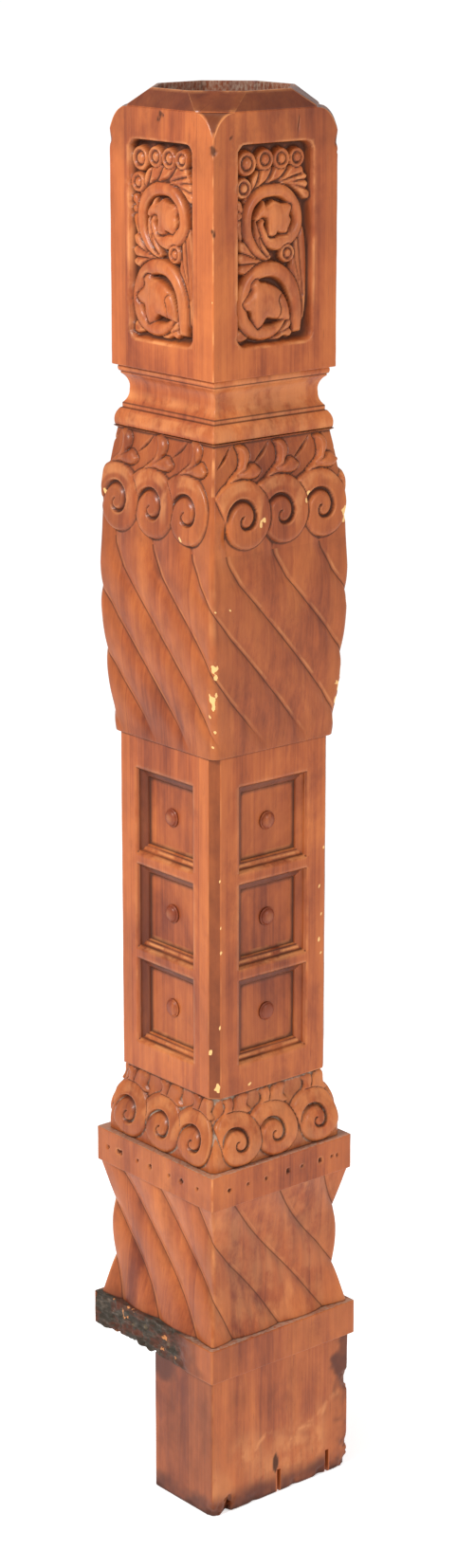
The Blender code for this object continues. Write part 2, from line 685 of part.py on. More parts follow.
def place(turn, run):
    """Turn and run, with the carving, as points in space."""
    z, half, leg, roundness = section_at(run)
    height = carved_height(turn, run)
    index = np.minimum(np.floor(turn + 1e-9), 3).astype(int)
    u = (turn - index - 0.5) * 2 * half
    side = np.sign(u)
    size = np.abs(u)
    share = np.where(leg > 1e-7, np.clip((size - (half - leg)) / np.maximum(leg, 1e-7), 0, 1), 0)
    flat_x, flat_y = half - leg + share * leg / 2, half - share * leg / 2
    angle = share * math.pi / 4
    round_x, round_y = half - leg + leg * np.sin(angle), half - leg + leg * np.cos(angle)
    corner = share > 0
    x = np.where(corner, flat_x * (1 - roundness) + round_x * roundness, size)
    y = np.where(corner, flat_y * (1 - roundness) + round_y * roundness, half)
    lean = np.clip((size / half - (1 - CORNER_SHARE)) / CORNER_SHARE, 0, 1)
    x, y = side * (x + height * lean), -(y + height)
    points = np.zeros((len(turn), 3))
    for i, face in enumerate(FACES):
        c, s = ((1, 0), (0, 1), (-1, 0), (0, -1))[QUARTER_TURNS.index(face)]
        mask = index == i
        points[mask, 0] = (x * c - y * s)[mask]
        points[mask, 1] = (x * s + y * c)[mask]
    points[:, 2] = z
    return points


# The net: lines on the (turn, run) sheet that the triangles have to follow


class Net:
    """Collects lines on the sheet and cuts them at the seam, so that both sides of it match."""

    def __init__(self):
        self.pieces = []
        self.seam = set()

    def line(self, points, closed=False):
        points = [tuple(map(float, p)) for p in points]
        if closed:
            points = points + points[:1]
        for a, b in zip(points, points[1:]):
            self.segment(a, b)

    def segment(self, a, b):
        if a[0] > b[0]:
            a, b = b, a
        shift = math.floor(a[0] / 4) * 4
        a, b = (a[0] - shift, a[1]), (b[0] - shift, b[1])
        if b[0] > 4 + 1e-9:
            run = a[1] + (b[1] - a[1]) * (4 - a[0]) / (b[0] - a[0])
            self.seam.add(round(run, 7))
            self.pieces.append((a, (4, run)))
            self.pieces.append(((0, run), (b[0] - 4, b[1])))
        else:
            self.pieces.append((a, b))
            for point in (a, b):
                if abs(point[0]) < 1e-7 or abs(point[0] - 4) < 1e-7:
                    self.seam.add(round(point[1], 7))

    def triangles(self):
        """Turn, run and corner numbers of the triangles."""
        for run in (0, RUN[-1]):
            self.seam.add(round(float(run), 7))
        places, index, edges = [], {}, []

        def number(turn, run):
            turn = 0.0 if abs(turn) < 1e-6 else 4.0 if abs(turn - 4) < 1e-6 else turn
            key = (round(turn, 6), round(run, 7))
            if key not in index:
                index[key] = len(places)
                places.append(key)
            return index[key]

        for a, b in self.pieces:
            edges.append((number(*a), number(*b)))
        for turn in (0.0, 4.0):
            chain = [number(turn, run) for run in sorted(self.seam)]
            edges += list(zip(chain, chain[1:]))
        flat = [Vector((turn * FACE_WIDTH, run)) for turn, run in places]
        edges = [e for e in edges if e[0] != e[1]]
        verts, _, faces, origins, _, _ = delaunay_2d_cdt(flat, edges, [], 0, 4e-5, True)
        turns, runs = np.zeros(len(verts)), np.zeros(len(verts))
        for i, vert in enumerate(verts):
            if origins[i]:
                turns[i], runs[i] = places[min(origins[i])]
            else:
                turns[i], runs[i] = vert.x / FACE_WIDTH, vert.y
        return turns, runs, faces


def sheet_line(points, face_index):
    """A face's (across, z) points as (turn, run)."""
    points = np.asarray(points, float)
    runs = run_at(points[:, 1])
    halves = section_at(runs)[1]
    return np.stack([face_index + 0.5 + points[:, 0] / (2 * halves), runs], 1)


def visible_runs(line, closed, covering, low, high):
    """The stretches of a line that no later shape covers and that lie within the zone."""
    line = np.asarray(line, float)
    pairs = list(zip(line, np.roll(line, -1, axis=0))) if closed else list(zip(line, line[1:]))
    for a, b in pairs:
        if min(a[1], b[1]) < low or max(a[1], b[1]) > high:
            continue
        middle = (a + b) / 2
        hidden = False
        for shape in covering:
            depth = shape.depth_in(np.array([middle[0]]), np.array([middle[1]]))[0]
            if depth > -shape.wall * 0.6:
                hidden = True
                break
        if not hidden:
            yield a, b


def add_corner_lines(net):
    """The corner's middle line and, where the corner has a leg, the lines along its edges."""
    for corner in range(4):
        net.line([(corner, run) for run in RUN])
        for side in (-1, 1):
            for i in range(len(RUN) - 1):
                legs = PROFILE[i : i + 2, 2]
                if legs.max() < 1e-6:
                    continue
                ends = [corner + side * PROFILE[j, 2] / (2 * PROFILE[j, 1]) for j in (i, i + 1)]
                net.segment((ends[0] % 4 if ends[0] >= 0 else ends[0] + 4, RUN[i]),
                            (ends[1] % 4 if ends[1] >= 0 else ends[1] + 4, RUN[i + 1]))


def add_rows(net):
    for run in RUN:
        for face in range(4):
            net.segment((face, run), (face + 1, run))


def add_flute_lines(net, rows, offsets):
    for phase in offsets:
        for k in range(4 * FLUTES_PER_FACE):
            points = []
            for z in rows:
                turn = 0.5 + float(flute_shift(z)) + (k + phase) / FLUTES_PER_FACE
                points.append((turn, float(run_at(z))))
            net.line(points)


def build_net():
    net = Net()
    add_rows(net)
    add_corner_lines(net)
    bulb_rows = [z for z, _ in bulb_profile() if z < UPPER_EYE - 5 * MM]
    add_flute_lines(net, bulb_rows, BULB_RIB_LINES)
    waist_rows = [z for z, _ in waist_profile()]
    waist_rows[-1] -= 1e-6
    add_flute_lines(net, waist_rows, WAIST_RIB_LINES)
    for zone in ZONES:
        for index, face in enumerate(FACES):
            shapes = zone.shapes(face)
            for line, closed in zone.own_lines(face):
                for a, b in visible_runs(line, closed, shapes, zone.low, zone.high):
                    net.line(sheet_line([a, b], index))
            for order, shape in enumerate(shapes):
                for line, closed in shape.lines():
                    for a, b in visible_runs(line, closed, shapes[order + 1 :], zone.low, zone.high):
                        net.line(sheet_line([a, b], index))
    return net


def make_post(material):
    turns, runs, faces = build_net().triangles()
    points = place(turns, runs)
    mesh = bpy.data.meshes.new("post")
    mesh.from_pydata([tuple(p) for p in points], [], [tuple(f) for f in faces])
    work = bmesh.new()
    work.from_mesh(mesh)
    bmesh.ops.remove_doubles(work, verts=work.verts, dist=2e-6)
    bmesh.ops.recalc_face_normals(work, faces=work.faces)
    layer = work.verts.layers.deform.verify()
    carved = np.abs(carved_height(turns, runs)) > 1e-7
    tree = KDTree(len(points))
    for i, point in enumerate(points):
        tree.insert(point, i)
    tree.balance()
    for vert in work.verts:
        vert[layer][0] = float(carved[tree.find(vert.co)[1]])
    work.to_mesh(mesh)
    work.free()
    post = bpy.data.objects.new("post", mesh)
    bpy.context.scene.collection.objects.link(post)
    mesh.materials.append(material)
    post.vertex_groups.new(name="carved")
    thin = post.modifiers.new("thin", "DECIMATE")
    thin.vertex_group = "carved"
    thin.ratio = min(1.0, POST_TRIANGLES / len(mesh.polygons))
    past = CUTTER_PAST
    cut_away(post, "notch", (-FOOT_HALF - past, 0, -past), (0, FOOT_HALF + past, NOTCH_HEIGHT))
    for i, middle in enumerate(SAW_CUTS):
        half = SAW_CUT_WIDTH / 2
        cut_away(post, f"saw_cut_{i + 1}", (middle - half, -FOOT_HALF - past, -past),
                 (middle + half, -FOOT_HALF + (FOOT_HALF - BORE_HALF) * SAW_CUT_IN, SAW_CUT_HEIGHT))
    return post


def cut_away(item, name, low, high):
    """Takes a box out of an object."""
    mesh = bpy.data.meshes.new(name)
    work = bmesh.new()
    bmesh.ops.create_cube(work, size=1)
    for vert in work.verts:
        for axis in range(3):
            vert.co[axis] = high[axis] if vert.co[axis] > 0 else low[axis]
    work.to_mesh(mesh)
    work.free()
    cutter = bpy.data.objects.new(name, mesh)
    bpy.context.scene.collection.objects.link(cutter)
    cutter.hide_render = True
    cutter.display_type = "WIRE"
    difference = item.modifiers.new(name, "BOOLEAN")
    difference.operation = "DIFFERENCE"
    difference.object = cutter


def boss_mesh():
    """A turned boss standing on z = 0: a short side and a dome."""
    mesh = bpy.data.meshes.new("boss")
    work = bmesh.new()
    dome = math.radians(BOSS_RING)
    ring = (BOSS_RADIUS * math.cos(dome), BOSS_EDGE + (BOSS_HEIGHT - BOSS_EDGE) * math.sin(dome))
    outline = [(BOSS_RADIUS, 0), (BOSS_RADIUS, BOSS_EDGE), ring]
    rings = []
    for radius, height in outline:
        rings.append([work.verts.new((radius * math.cos(2 * math.pi * i / BOSS_SIDES),
                                      radius * math.sin(2 * math.pi * i / BOSS_SIDES), height))
                      for i in range(BOSS_SIDES)])
    for low, high in zip(rings, rings[1:]):
        for i in range(BOSS_SIDES):
            j = (i + 1) % BOSS_SIDES
            work.faces.new((low[i], low[j], high[j], high[i]))
    tip = work.verts.new((0, 0, BOSS_HEIGHT))
    for i in range(BOSS_SIDES):
        work.faces.new((rings[-1][i], rings[-1][(i + 1) % BOSS_SIDES], tip))
    work.faces.new(rings[0][::-1])
    work.to_mesh(mesh)
    work.free()
    mesh.shade_smooth()
    mesh.set_sharp_from_angle(angle=math.radians(40))
    return mesh


def make_bosses(material):
    mesh = boss_mesh()
    mesh.materials.append(material)
    floor = SHAFT_HALF - PANEL_DEPTH + BOSS_GAP
    for face in FACES:
        angle = QUARTER_TURNS.index(face) * math.pi / 2
        for i in range(PANELS):
            boss = bpy.data.objects.new(f"boss_{face}_{i + 1}", mesh)
            bpy.context.scene.collection.objects.link(boss)
            boss.location = (floor * math.sin(angle), -floor * math.cos(angle), panel_middle(PANELS - 1 - i))
            boss.rotation_euler = (math.pi / 2, 0, angle)


def main():
    clear_scene()
    make_post(wood("carved_wood", (0.42, 0.13, 0.045), 0.42))
    make_bosses(wood("boss_wood", (0.33, 0.09, 0.035), 0.35))


main()
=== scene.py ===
"""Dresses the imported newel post: carved surfaces in fine mesh, worn varnished wood, floor, light and camera.

The post is one carved piece, shown here as ten stacked lengths that meet at its ledges, and twelve turned
bosses. Each length is one sheet wrapped round the four faces and closed through the bore. A place on a face is
(u, z): u is measured from the face's middle line, to the right as one looks at the face, and z is the height.
The carving is written in millimetres; meshes, lights and camera are in metres, +Z up.
"""

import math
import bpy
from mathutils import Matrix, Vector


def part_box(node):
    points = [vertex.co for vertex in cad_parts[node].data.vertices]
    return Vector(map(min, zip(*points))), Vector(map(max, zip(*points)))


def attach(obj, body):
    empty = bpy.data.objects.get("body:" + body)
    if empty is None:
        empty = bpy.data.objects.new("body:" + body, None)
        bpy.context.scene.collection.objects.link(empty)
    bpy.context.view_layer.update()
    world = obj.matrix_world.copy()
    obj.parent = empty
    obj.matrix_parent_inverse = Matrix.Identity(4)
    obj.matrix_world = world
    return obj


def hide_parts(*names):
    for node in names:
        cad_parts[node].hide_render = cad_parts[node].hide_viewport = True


bl_info = {
    "name": "Carved newel post",
    "version": (1, 0, 0),
    "blender": (4, 5, 0),
    "location": "3D View > Sidebar > Newel",
    "description": "Carves and finishes a wooden box newel post round its packed solids",
    "category": "Add Mesh",
}

from itertools import product

import bpy
import numpy as np
from mathutils import Vector

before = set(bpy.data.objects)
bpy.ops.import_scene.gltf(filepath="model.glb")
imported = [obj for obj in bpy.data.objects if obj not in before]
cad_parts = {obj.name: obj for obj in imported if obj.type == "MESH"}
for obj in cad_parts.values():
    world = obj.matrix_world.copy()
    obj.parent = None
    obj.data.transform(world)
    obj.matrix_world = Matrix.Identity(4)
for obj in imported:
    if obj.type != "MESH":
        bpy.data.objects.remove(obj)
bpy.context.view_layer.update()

MM = 0.001

# Heights of the ledges, as in the solids
FOOT_TOP = 163
LOWER_BAND_TOP = 202
WAIST_TOP = 361
NAIL_BAND_TOP = 400
SCROLLS_TOP = 480
SHAFT_TOP = 853
BULB_WIDEST = 1060
RIBS_TOP = 1066
BULB_TOP = 1180
HEAD_BOTTOM = 1243
SHOULDER_START = 1470
HEAD_TOP = 1505
RIM_TOP = 1524.5

# Half sizes across the faces
FOOT_HALF = 98.3
LOWER_BAND_HALF = 103.3
WAIST_FOOT_HALF = 97
WAIST_HALF = 88.5
WAIST_HEAD_HALF = 97
NAIL_BAND_HALF = 99.2
SCROLL_HALF = 95
SHAFT_HALF = 81.5
BULB_FOOT_HALF = 83.7
BULB_HALF = 94.5
BULB_HEAD_HALF = 82
NECK_HALF = 69
NECK_BEAD_HALF = 77
HEAD_HALF = 82
RIM_HALF = 69.7
RIM_WALL = 3.2
MOUTH_DEPTH = 38
BORE_HALF = 47.5

# Corners
SHAFT_CHAMFER = 9.4
SHOULDER_IN = 27
FILLET_IN = 1
FILLET_UP = 2.5
SOFT_CORNER = 3
ARRIS = 1.6
NECK_ARRIS = 1.2
NAIL_ARRIS = 2
BAND_ARRIS = 2.4
FOOT_ARRIS = 2.2
OCTAGON_LEG = 2 - math.sqrt(2)

# How far from a corner the carving starts to lean towards the corner's own direction, as a share of the half
CORNER_SHARE = 0.3

# Saw cuts in the foot: their middles across the front, and how far they go into its wall
SAW_CUTS = (-3, 68)
SAW_CUT_WIDTH = 5
SAW_CUT_HEIGHT = 28
SAW_CUT_IN = 0.6
CUTTER_PAST = 20

# Sunk panels and bosses
PANEL_SIZE = 95
PANEL_PITCH = 106.3
PANEL_MIDDLE = 665
PANEL_DEPTH = 11.5
PANEL_MOULDING = 11
PANELS = 3
BOSS_SIDES = 48
BOSS_GAP = 0.3

# Ribs: how many, and where a rib's crest lies between two valleys
RIBS_PER_FACE = 3
BULB_CREST = 0.62
WAIST_CREST = 0.55

# Scrolls: from eye to edge at each quarter turn, clockwise from the top, their eyes across the face and up,
# and the faces in the order of their turn, each with that turn's cosine and sine
UPPER_SCROLL = (39.5, 35.6, 30, 23.4, 20.2, 15.6, 9.8, 4.6, 2.4)
LOWER_SCROLL = (34, 31.2, 24.2, 23.8, 17, 13.3, 8, 4.6, 2)
SCROLL_GROUND = 4
FACES = ("back", "left", "front", "right")
FACE_TURNS = ((-1, 0), (0, -1), (1, 0), (0, 1))
UPPER_EYES = {
    "left": ((-64.5, 1103.5), (-7.5, 1104), (48, 1105)),
    "front": ((-49, 1101.8), (1.8, 1102.4), (55.7, 1101.8)),
    "right": ((-59, 1102), (-3, 1103), (53, 1102)),
    "back": ((-59, 1103), (-3, 1102), (53, 1103)),
}
LOWER_EYES = {
    "left": ((-55, 426), (2, 426), (56, 426)),
    "front": ((-54.5, 425.7), (-3, 425.5), (57, 425.9)),
    "right": ((-56, 426), (0, 426), (56, 426)),
    "back": ((-56, 426), (0, 426), (56, 426)),
}

# Nail holes: place across the face and radius
NAIL_HEIGHT = 381
NAIL_DEPTH = 3.5
NAIL_HOLES = {
    "front": ((-75, 2), (-49, 1.7), (-23, 2), (8, 2.6), (28, 1.6), (54, 2.6), (71, 1.6), (79, 2)),
    "left": ((-80, 2), (-62, 2.4), (-57, 2.4), (-28, 1.8), (-6, 2.4), (26, 1.8), (47, 2.6), (74, 1.8)),
    "right": ((-70, 1.8), (-30, 2), (12, 2.2), (60, 2)),
    "back": ((-76, 2), (-34, 1.8), (20, 2.2), (66, 1.8)),
}

# Carved panel of the head
RELIEF_HALF = 50
RELIEF_BOTTOM = 1273
RELIEF_TOP = 1474
RELIEF_CORNER = 11
RELIEF_WALL = 1.5
RELIEF_DISH = 8
HEAD_CRACKS = {"front": ((27, 1478), (29, 1489), (30, 1500)), "left": ((-2, 1490), (0, 1499), (-1, 1505))}

# What a place can be marked as, from 0 to 1; the stain and dirt masks also carry painted shade, and the wear
# mask carries painted highlights
MASKS = ("dirt_and_shade", "wear_and_highlight", "dust", "bare", "char", "stain_and_shade")


# Sizes and colours that a user would change


def length_property(name, description, millimetres):
    return bpy.props.FloatProperty(name=name, description=description, default=millimetres * MM, unit="LENGTH")


def colour_property(name, description, colour):
    return bpy.props.FloatVectorProperty(
        name=name, description=description, default=colour, size=3, min=0, max=1, subtype="COLOR")


class NewelSizes(bpy.types.PropertyGroup):
    """Depths of the carving and how worn the wood is."""

    bulb_flute: length_property("Upper flutes", "Depth of the flutes on the swollen length", 4.2)
    waist_flute: length_property("Lower flutes", "Depth of the flutes under the nailed band", 4.5)
    scroll_groove: length_property("Scroll groove", "Depth of the groove that winds into each scroll", 5)
    relief: length_property("Head relief", "How deep the ground of the head's carved panels lies", 11)
    unevenness: length_property("Hand work", "How far the hand-cut surface wanders", 0.22)
    splinters: length_property("Torn band", "Depth to which the lower band is torn on the left face", 6)


class NewelColours(bpy.types.PropertyGroup):
    """Colours of the stained wood, of what has gathered on it, and of the painted shade and highlights laid
    over it.
    """

    light: colour_property("Light grain", "Stained wood between the dark lines of grain", (0.515, 0.143, 0.033))
    wood: colour_property("Wood", "The stained wood's main colour", (0.35, 0.080, 0.020))
    # Dark grain is also the colour that the stain mask lays, and so of its painted shade in deep cuts, valleys,
    # scroll grooves and panel mouldings.
    dark: colour_property("Dark grain", "Dense late wood and old stain", (0.17, 0.030, 0.009))
    boss: colour_property("Boss wood", "Darker stain of the turned bosses", (0.235, 0.050, 0.019))
    # The worn colour also paints highlights on rib banks, scroll rims, neck mouldings, panel ledges and leaf
    # tops.
    worn_and_highlight: colour_property("Worn edge", "Edges rubbed back to paler wood", (0.72, 0.29, 0.10))
    bare: colour_property("Bare wood", "Fresh chips", (0.78, 0.47, 0.18))
    # The dirt colour is also the painted shade in hollows, creases and joints.
    dirt_and_shade: colour_property("Dirt", "Old polish and dirt in the hollows", (0.06, 0.018, 0.008))
    dust: colour_property("Dust", "Pale dust on the ledges and in the carved ground", (0.42, 0.33, 0.25))
    char: colour_property("Blackened wood", "Torn and blackened wood of the lower band", (0.030, 0.027, 0.019))


class NewelStage(bpy.types.PropertyGroup):
    """Floor and light."""

    floor: colour_property("Floor", "Plain pale floor", (0.93, 0.93, 0.93))
    sky: bpy.props.FloatProperty(name="Sky", description="Strength of the even light all round", default=0.62)
    glow: bpy.props.FloatProperty(
        name="Floor glow", description="Light that the floor gives off, which keeps it white", default=0.46)
    key: bpy.props.FloatProperty(
        name="Key light", description="Power of the soft light at the upper left", default=67, unit="POWER")
    fill: bpy.props.FloatProperty(
        name="Fill light", description="Power of the soft light at the right", default=26, unit="POWER")


def chosen(name):
    """A size that the user can change, in millimetres."""
    return getattr(bpy.context.scene.newel_sizes, name) / MM


# Smooth random values, curves and distances


def value_noise(points, size, seed):
    """Smooth random values from -1 to 1; size is the distance from one swelling to the next."""
    place = points / np.asarray(size, float)
    cell = np.floor(place).astype(np.int64)
    part = place - cell
    part = part * part * (3 - 2 * part)
    total = np.zeros(points.shape[:-1])
    primes = (73856093, 19349663, 83492791)
    mask = 0x7FFFFFFF
    for corner in product((0, 1), repeat=3):
        code = np.full(total.shape, seed * 2654435761, np.int64)
        weight = np.ones(total.shape)
        for axis in range(3):
            code ^= (cell[..., axis] + corner[axis]) * primes[axis]
            weight *= part[..., axis] if corner[axis] else 1 - part[..., axis]
        code &= mask
        code = (code ^ (code >> 15)) * 73244475 & mask
        code = (code ^ (code >> 14)) * 73244475 & mask
        code ^= code >> 13
        total += weight * (code / (mask / 2) - 1)
    return total


def rise(x):
    """0 below 0, 1 above 1 and smooth between."""
    x = np.clip(x, 0, 1)
    return x * x * (3 - 2 * x)


def past(value, start, reach):
    """0 up to the start, then rising smoothly to 1 over the reach; a negative reach looks the other way."""
    return rise((value - start) / reach)


def near(value, middle, reach):
    """1 at the middle, falling smoothly to 0 at the reach on either side."""
    return rise(1 - np.abs(value - middle) / reach)


def quarter_round(t):
    """From 0 at 0 up to 1 at 1 along a quarter of a circle."""
    return np.sqrt(1 - (1 - np.clip(t, 0, 1)) ** 2)


def cubic(a, b, c, d, t):
    """Place between b and c on a smooth curve that also passes a and d."""
    return 0.5 * (2 * b + (c - a) * t + (2 * a - 5 * b + 4 * c - d) * t**2 + (3 * b - a - 3 * c + d) * t**3)


def catmull(points, closed, steps=4):
    """Smooth line through the points."""
    p = np.array(points, float)
    count = len(p)
    found = []
    for i in range(count if closed else count - 1):
        if closed:
            a, b, c, d = (p[(i + j) % count] for j in (-1, 0, 1, 2))
        else:
            a, b, c, d = p[max(i - 1, 0)], p[i], p[i + 1], p[min(i + 2, count - 1)]
        found += [cubic(a, b, c, d, step / steps) for step in range(steps)]
    if not closed:
        found.append(p[-1])
    return np.array(found)


def distance_to(u, z, line, closed=False):
    """Distance from each point to a line of points."""
    ends = np.roll(line, -1, axis=0) if closed else line[1:]
    starts = line if closed else line[:-1]
    best = np.full(np.shape(u), 9000.0)
    for (x0, y0), (x1, y1) in zip(starts, ends):
        dx, dy = x1 - x0, y1 - y0
        square = max(dx * dx + dy * dy, 1e-12)
        t = np.clip(((u - x0) * dx + (z - y0) * dy) / square, 0, 1)
        best = np.minimum(best, np.hypot(u - x0 - t * dx, z - y0 - t * dy))
    return best


def inside(u, z, outline):
    result = np.zeros(np.shape(u), bool)
    for (x0, y0), (x1, y1) in zip(outline, np.roll(outline, -1, axis=0)):
        if y0 == y1:
            continue
        crosses = (y0 > z) != (y1 > z)
        result ^= crosses & (u < (x1 - x0) * (z - y0) / (y1 - y0) + x0)
    return result


def depth_in(u, z, outline):
    """Distance inwards from an outline, less than 0 outside it."""
    away = distance_to(u, z, outline, True)
    return np.where(inside(u, z, outline), away, -away)


def moved(points, u, z):
    return [(u + x, z + y) for x, y in points]


# Carved shapes


class Shape:
    """Something carved on a face; it works only on the places near it."""

    def apply(self, u, z, height):
        left, right, low, high = self.box
        close = (u > left) & (u < right) & (z > low) & (z < high)
        if close.any():
            height[close] = self.carve(u[close], z[close], height[close])

    def frame(self, points, margin):
        low, high = np.min(points, axis=0), np.max(points, axis=0)
        self.box = (low[0] - margin, high[0] + margin, low[1] - margin, high[1] + margin)

    def set_on(self, height, top, depth, wall):
        """Joins a shape's top to the ground round it, over a steep wall outside its outline."""
        share = np.clip((depth + wall) / wall, 0, 1)
        return height * (1 - share) + top * share


class Raised(Shape):
    """A shape standing above what lies round it, with a steep edge, a rounded top and grooves along lines."""

    def __init__(self, outline, top, crown=0.0, roll=4, wall=1.2, smooth=True):
        self.outline = catmull(outline, True) if smooth else np.array(outline, float)
        self.top, self.crown, self.roll, self.wall = top, crown, roll, wall
        self.grooves = []
        self.frame(self.outline, wall)

    def groove(self, line, depth, half):
        """A V cut along a line."""
        self.grooves.append((catmull(line, False), depth, half))

    def carve(self, u, z, height):
        depth = depth_in(u, z, self.outline)
        top = self.top + self.crown * quarter_round(depth / self.roll)
        for line, deep, half in self.grooves:
            top = top - deep * rise(1 - distance_to(u, z, line) / half)
        return self.set_on(height, top, depth, self.wall)


class Cut(Shape):
    """A V cut along a line, below what is already there, tapering to both ends or only to its far end."""

    def __init__(self, line, depth, half, taper="both"):
        self.line = catmull(line, False)
        self.depth, self.half, self.taper = depth, half, taper
        self.frame(self.line, half)

    def carve(self, u, z, height):
        first, last = self.line[0], self.line[-1]
        to_first = np.hypot(u - first[0], z - first[1])
        to_last = np.hypot(u - last[0], z - last[1])
        length = np.hypot(*(last - first))
        ends = {"none": np.ones(np.shape(u)), "far": to_last / length,
                "both": np.minimum(to_first, to_last) / (0.5 * length)}[self.taper]
        strength = np.sqrt(np.clip(ends, 0, 1))
        away = distance_to(u, z, self.line)
        return height - self.depth * strength * rise(1 - away / (self.half * np.maximum(strength, 0.2)))


class Pit(Shape):
    """A round hole."""

    def __init__(self, u, z, radius, depth):
        self.u, self.z, self.radius, self.depth = u, z, radius, depth
        self.frame([(u, z)], radius * 1.3)

    def carve(self, u, z, height):
        away = np.hypot(u - self.u, z - self.z) / self.radius
        return height - self.depth * rise((1.25 - away) / 0.5)


class Scroll(Shape):
    """A scroll whose stem comes over the top from the left and winds inwards clockwise.

    quarters holds the distance from the eye to the scroll's edge at each quarter turn, clockwise from the top.
    """

    FLARE_START = -0.62
    FLARE = 0.14
    WALL = 1.3
    TOP = 0.3
    SHOULDER = 2.3
    ROLL = 6.5
    GROOVE_START = 2.6
    OUTER_BANK = 2

    def __init__(self, eye_u, eye_z, quarters):
        self.eye, self.quarters = (eye_u, eye_z), np.array(quarters, float)
        self.groove = chosen("scroll_groove")
        turns = np.arange(self.FLARE_START, 3.001, 0.1)
        flare = quarters[0] * self.FLARE * np.maximum(0, turns / self.FLARE_START)
        radii = self.radius(np.maximum(turns, 0)) + flare
        angle = turns * math.pi / 2
        self.outline = np.stack([eye_u + radii * np.sin(angle), eye_z + radii * np.cos(angle)], 1)
        self.frame(self.outline, 2)

    def radius(self, turn):
        """Smooth spiral through the quarter turns."""
        q = self.quarters
        turn = np.clip(turn, 0, len(q) - 1)
        i = np.minimum(turn.astype(int), len(q) - 2)
        return cubic(q[np.maximum(i - 1, 0)], q[i], q[i + 1], q[np.minimum(i + 2, len(q) - 1)], turn - i)

    def carve(self, u, z, height):
        x, y = u - self.eye[0], z - self.eye[1]
        radius = np.hypot(x, y)
        turn = (np.arctan2(x, y) / (math.pi / 2)) % 4
        depth = depth_in(u, z, self.outline)
        top = self.TOP - self.SHOULDER * (1 - quarter_round(depth / self.ROLL))
        last = len(self.quarters) - 1
        for place in (turn, turn + 4, turn + 8):
            edge, next_edge = self.radius(place), self.radius(np.minimum(place + 4, last))
            deep = self.groove * np.interp(place, [self.GROOVE_START, 3.4, 5.5, last], [0, 1, 1, 0.55])
            bank = np.clip(0.55 * (edge - next_edge), 1.6, 6.5)
            within = np.clip((edge - radius) / bank - 0.12, 0, 1)
            outwards = np.clip(1 - (radius - edge) / self.OUTER_BANK, 0, 1)
            fall = deep * np.where(radius <= edge, (1 - within) ** 1.6, outwards**1.2)
            here = (place >= self.GROOVE_START) & (place <= last) & (radius > next_edge)
            top = np.where(here, np.minimum(top, self.TOP - fall), top)
        return self.set_on(height, top, depth, self.WALL)


def blade(base, tip, width, bend, top, crown):
    """A pointed leaflet from base to tip, widest past its middle."""
    (x0, y0), (x1, y1) = base, tip
    length = math.hypot(x1 - x0, y1 - y0)
    dx, dy = (x1 - x0) / length, (y1 - y0) / length
    left, right = [], []
    for along, share in ((0.0, 0.25), (0.3, 0.62), (0.6, 0.95), (0.85, 0.9)):
        out = 4 * along * (1 - along) * bend
        half = width / 2 * share
        x, y = x0 + dx * length * along - dy * out, y0 + dy * length * along + dx * out
        left.append((x - dy * half, y + dx * half))
        right.append((x + dy * half, y - dx * half))
    return Raised(left + [tip] + right[::-1], top - crown, crown, width / 2)


def ring(u, z, radius, sides=20):
    angles = np.linspace(0, 2 * math.pi, sides + 1)[:-1]
    return [(u + radius * math.sin(a), z + radius * math.cos(a)) for a in angles]


def bud(u, z, radius):
    """A button with a rounded rim and a ball in its eye."""
    return [Raised(ring(u, z, radius), -5.2, 3.4, radius * 0.26, smooth=False),
            Raised(ring(u, z, radius * 0.62), -4.6, 0, radius * 0.2, 1.6, smooth=False),
            Raised(ring(u + 0.06 * radius, z, radius * 0.46), -4.6, 3.2, radius * 0.42, 0.6, smooth=False)]


def stem(centre, halves, top, crown):
    """A rounded strap along a centre line."""
    line = catmull(centre, False, 3)
    ahead = np.gradient(line, axis=0)
    ahead /= np.linalg.norm(ahead, axis=1)[:, None]
    side = np.stack([-ahead[:, 1], ahead[:, 0]], 1)
    half = np.interp(np.linspace(0, 1, len(line)), np.linspace(0, 1, len(halves)), halves)[:, None]
    outline = np.concatenate([line + side * half, (line - side * half)[::-1]])
    return Raised(outline, top - crown, crown, max(halves), smooth=False)


def leaf(outline, top, crown, roll, *cuts, wall=1.4):
    """A leaf with grooves; each cut is its line, depth and half width."""
    shape = Raised(outline, top - crown, crown, roll, wall)
    for cut in cuts:
        shape.groove(*cut)
    return shape


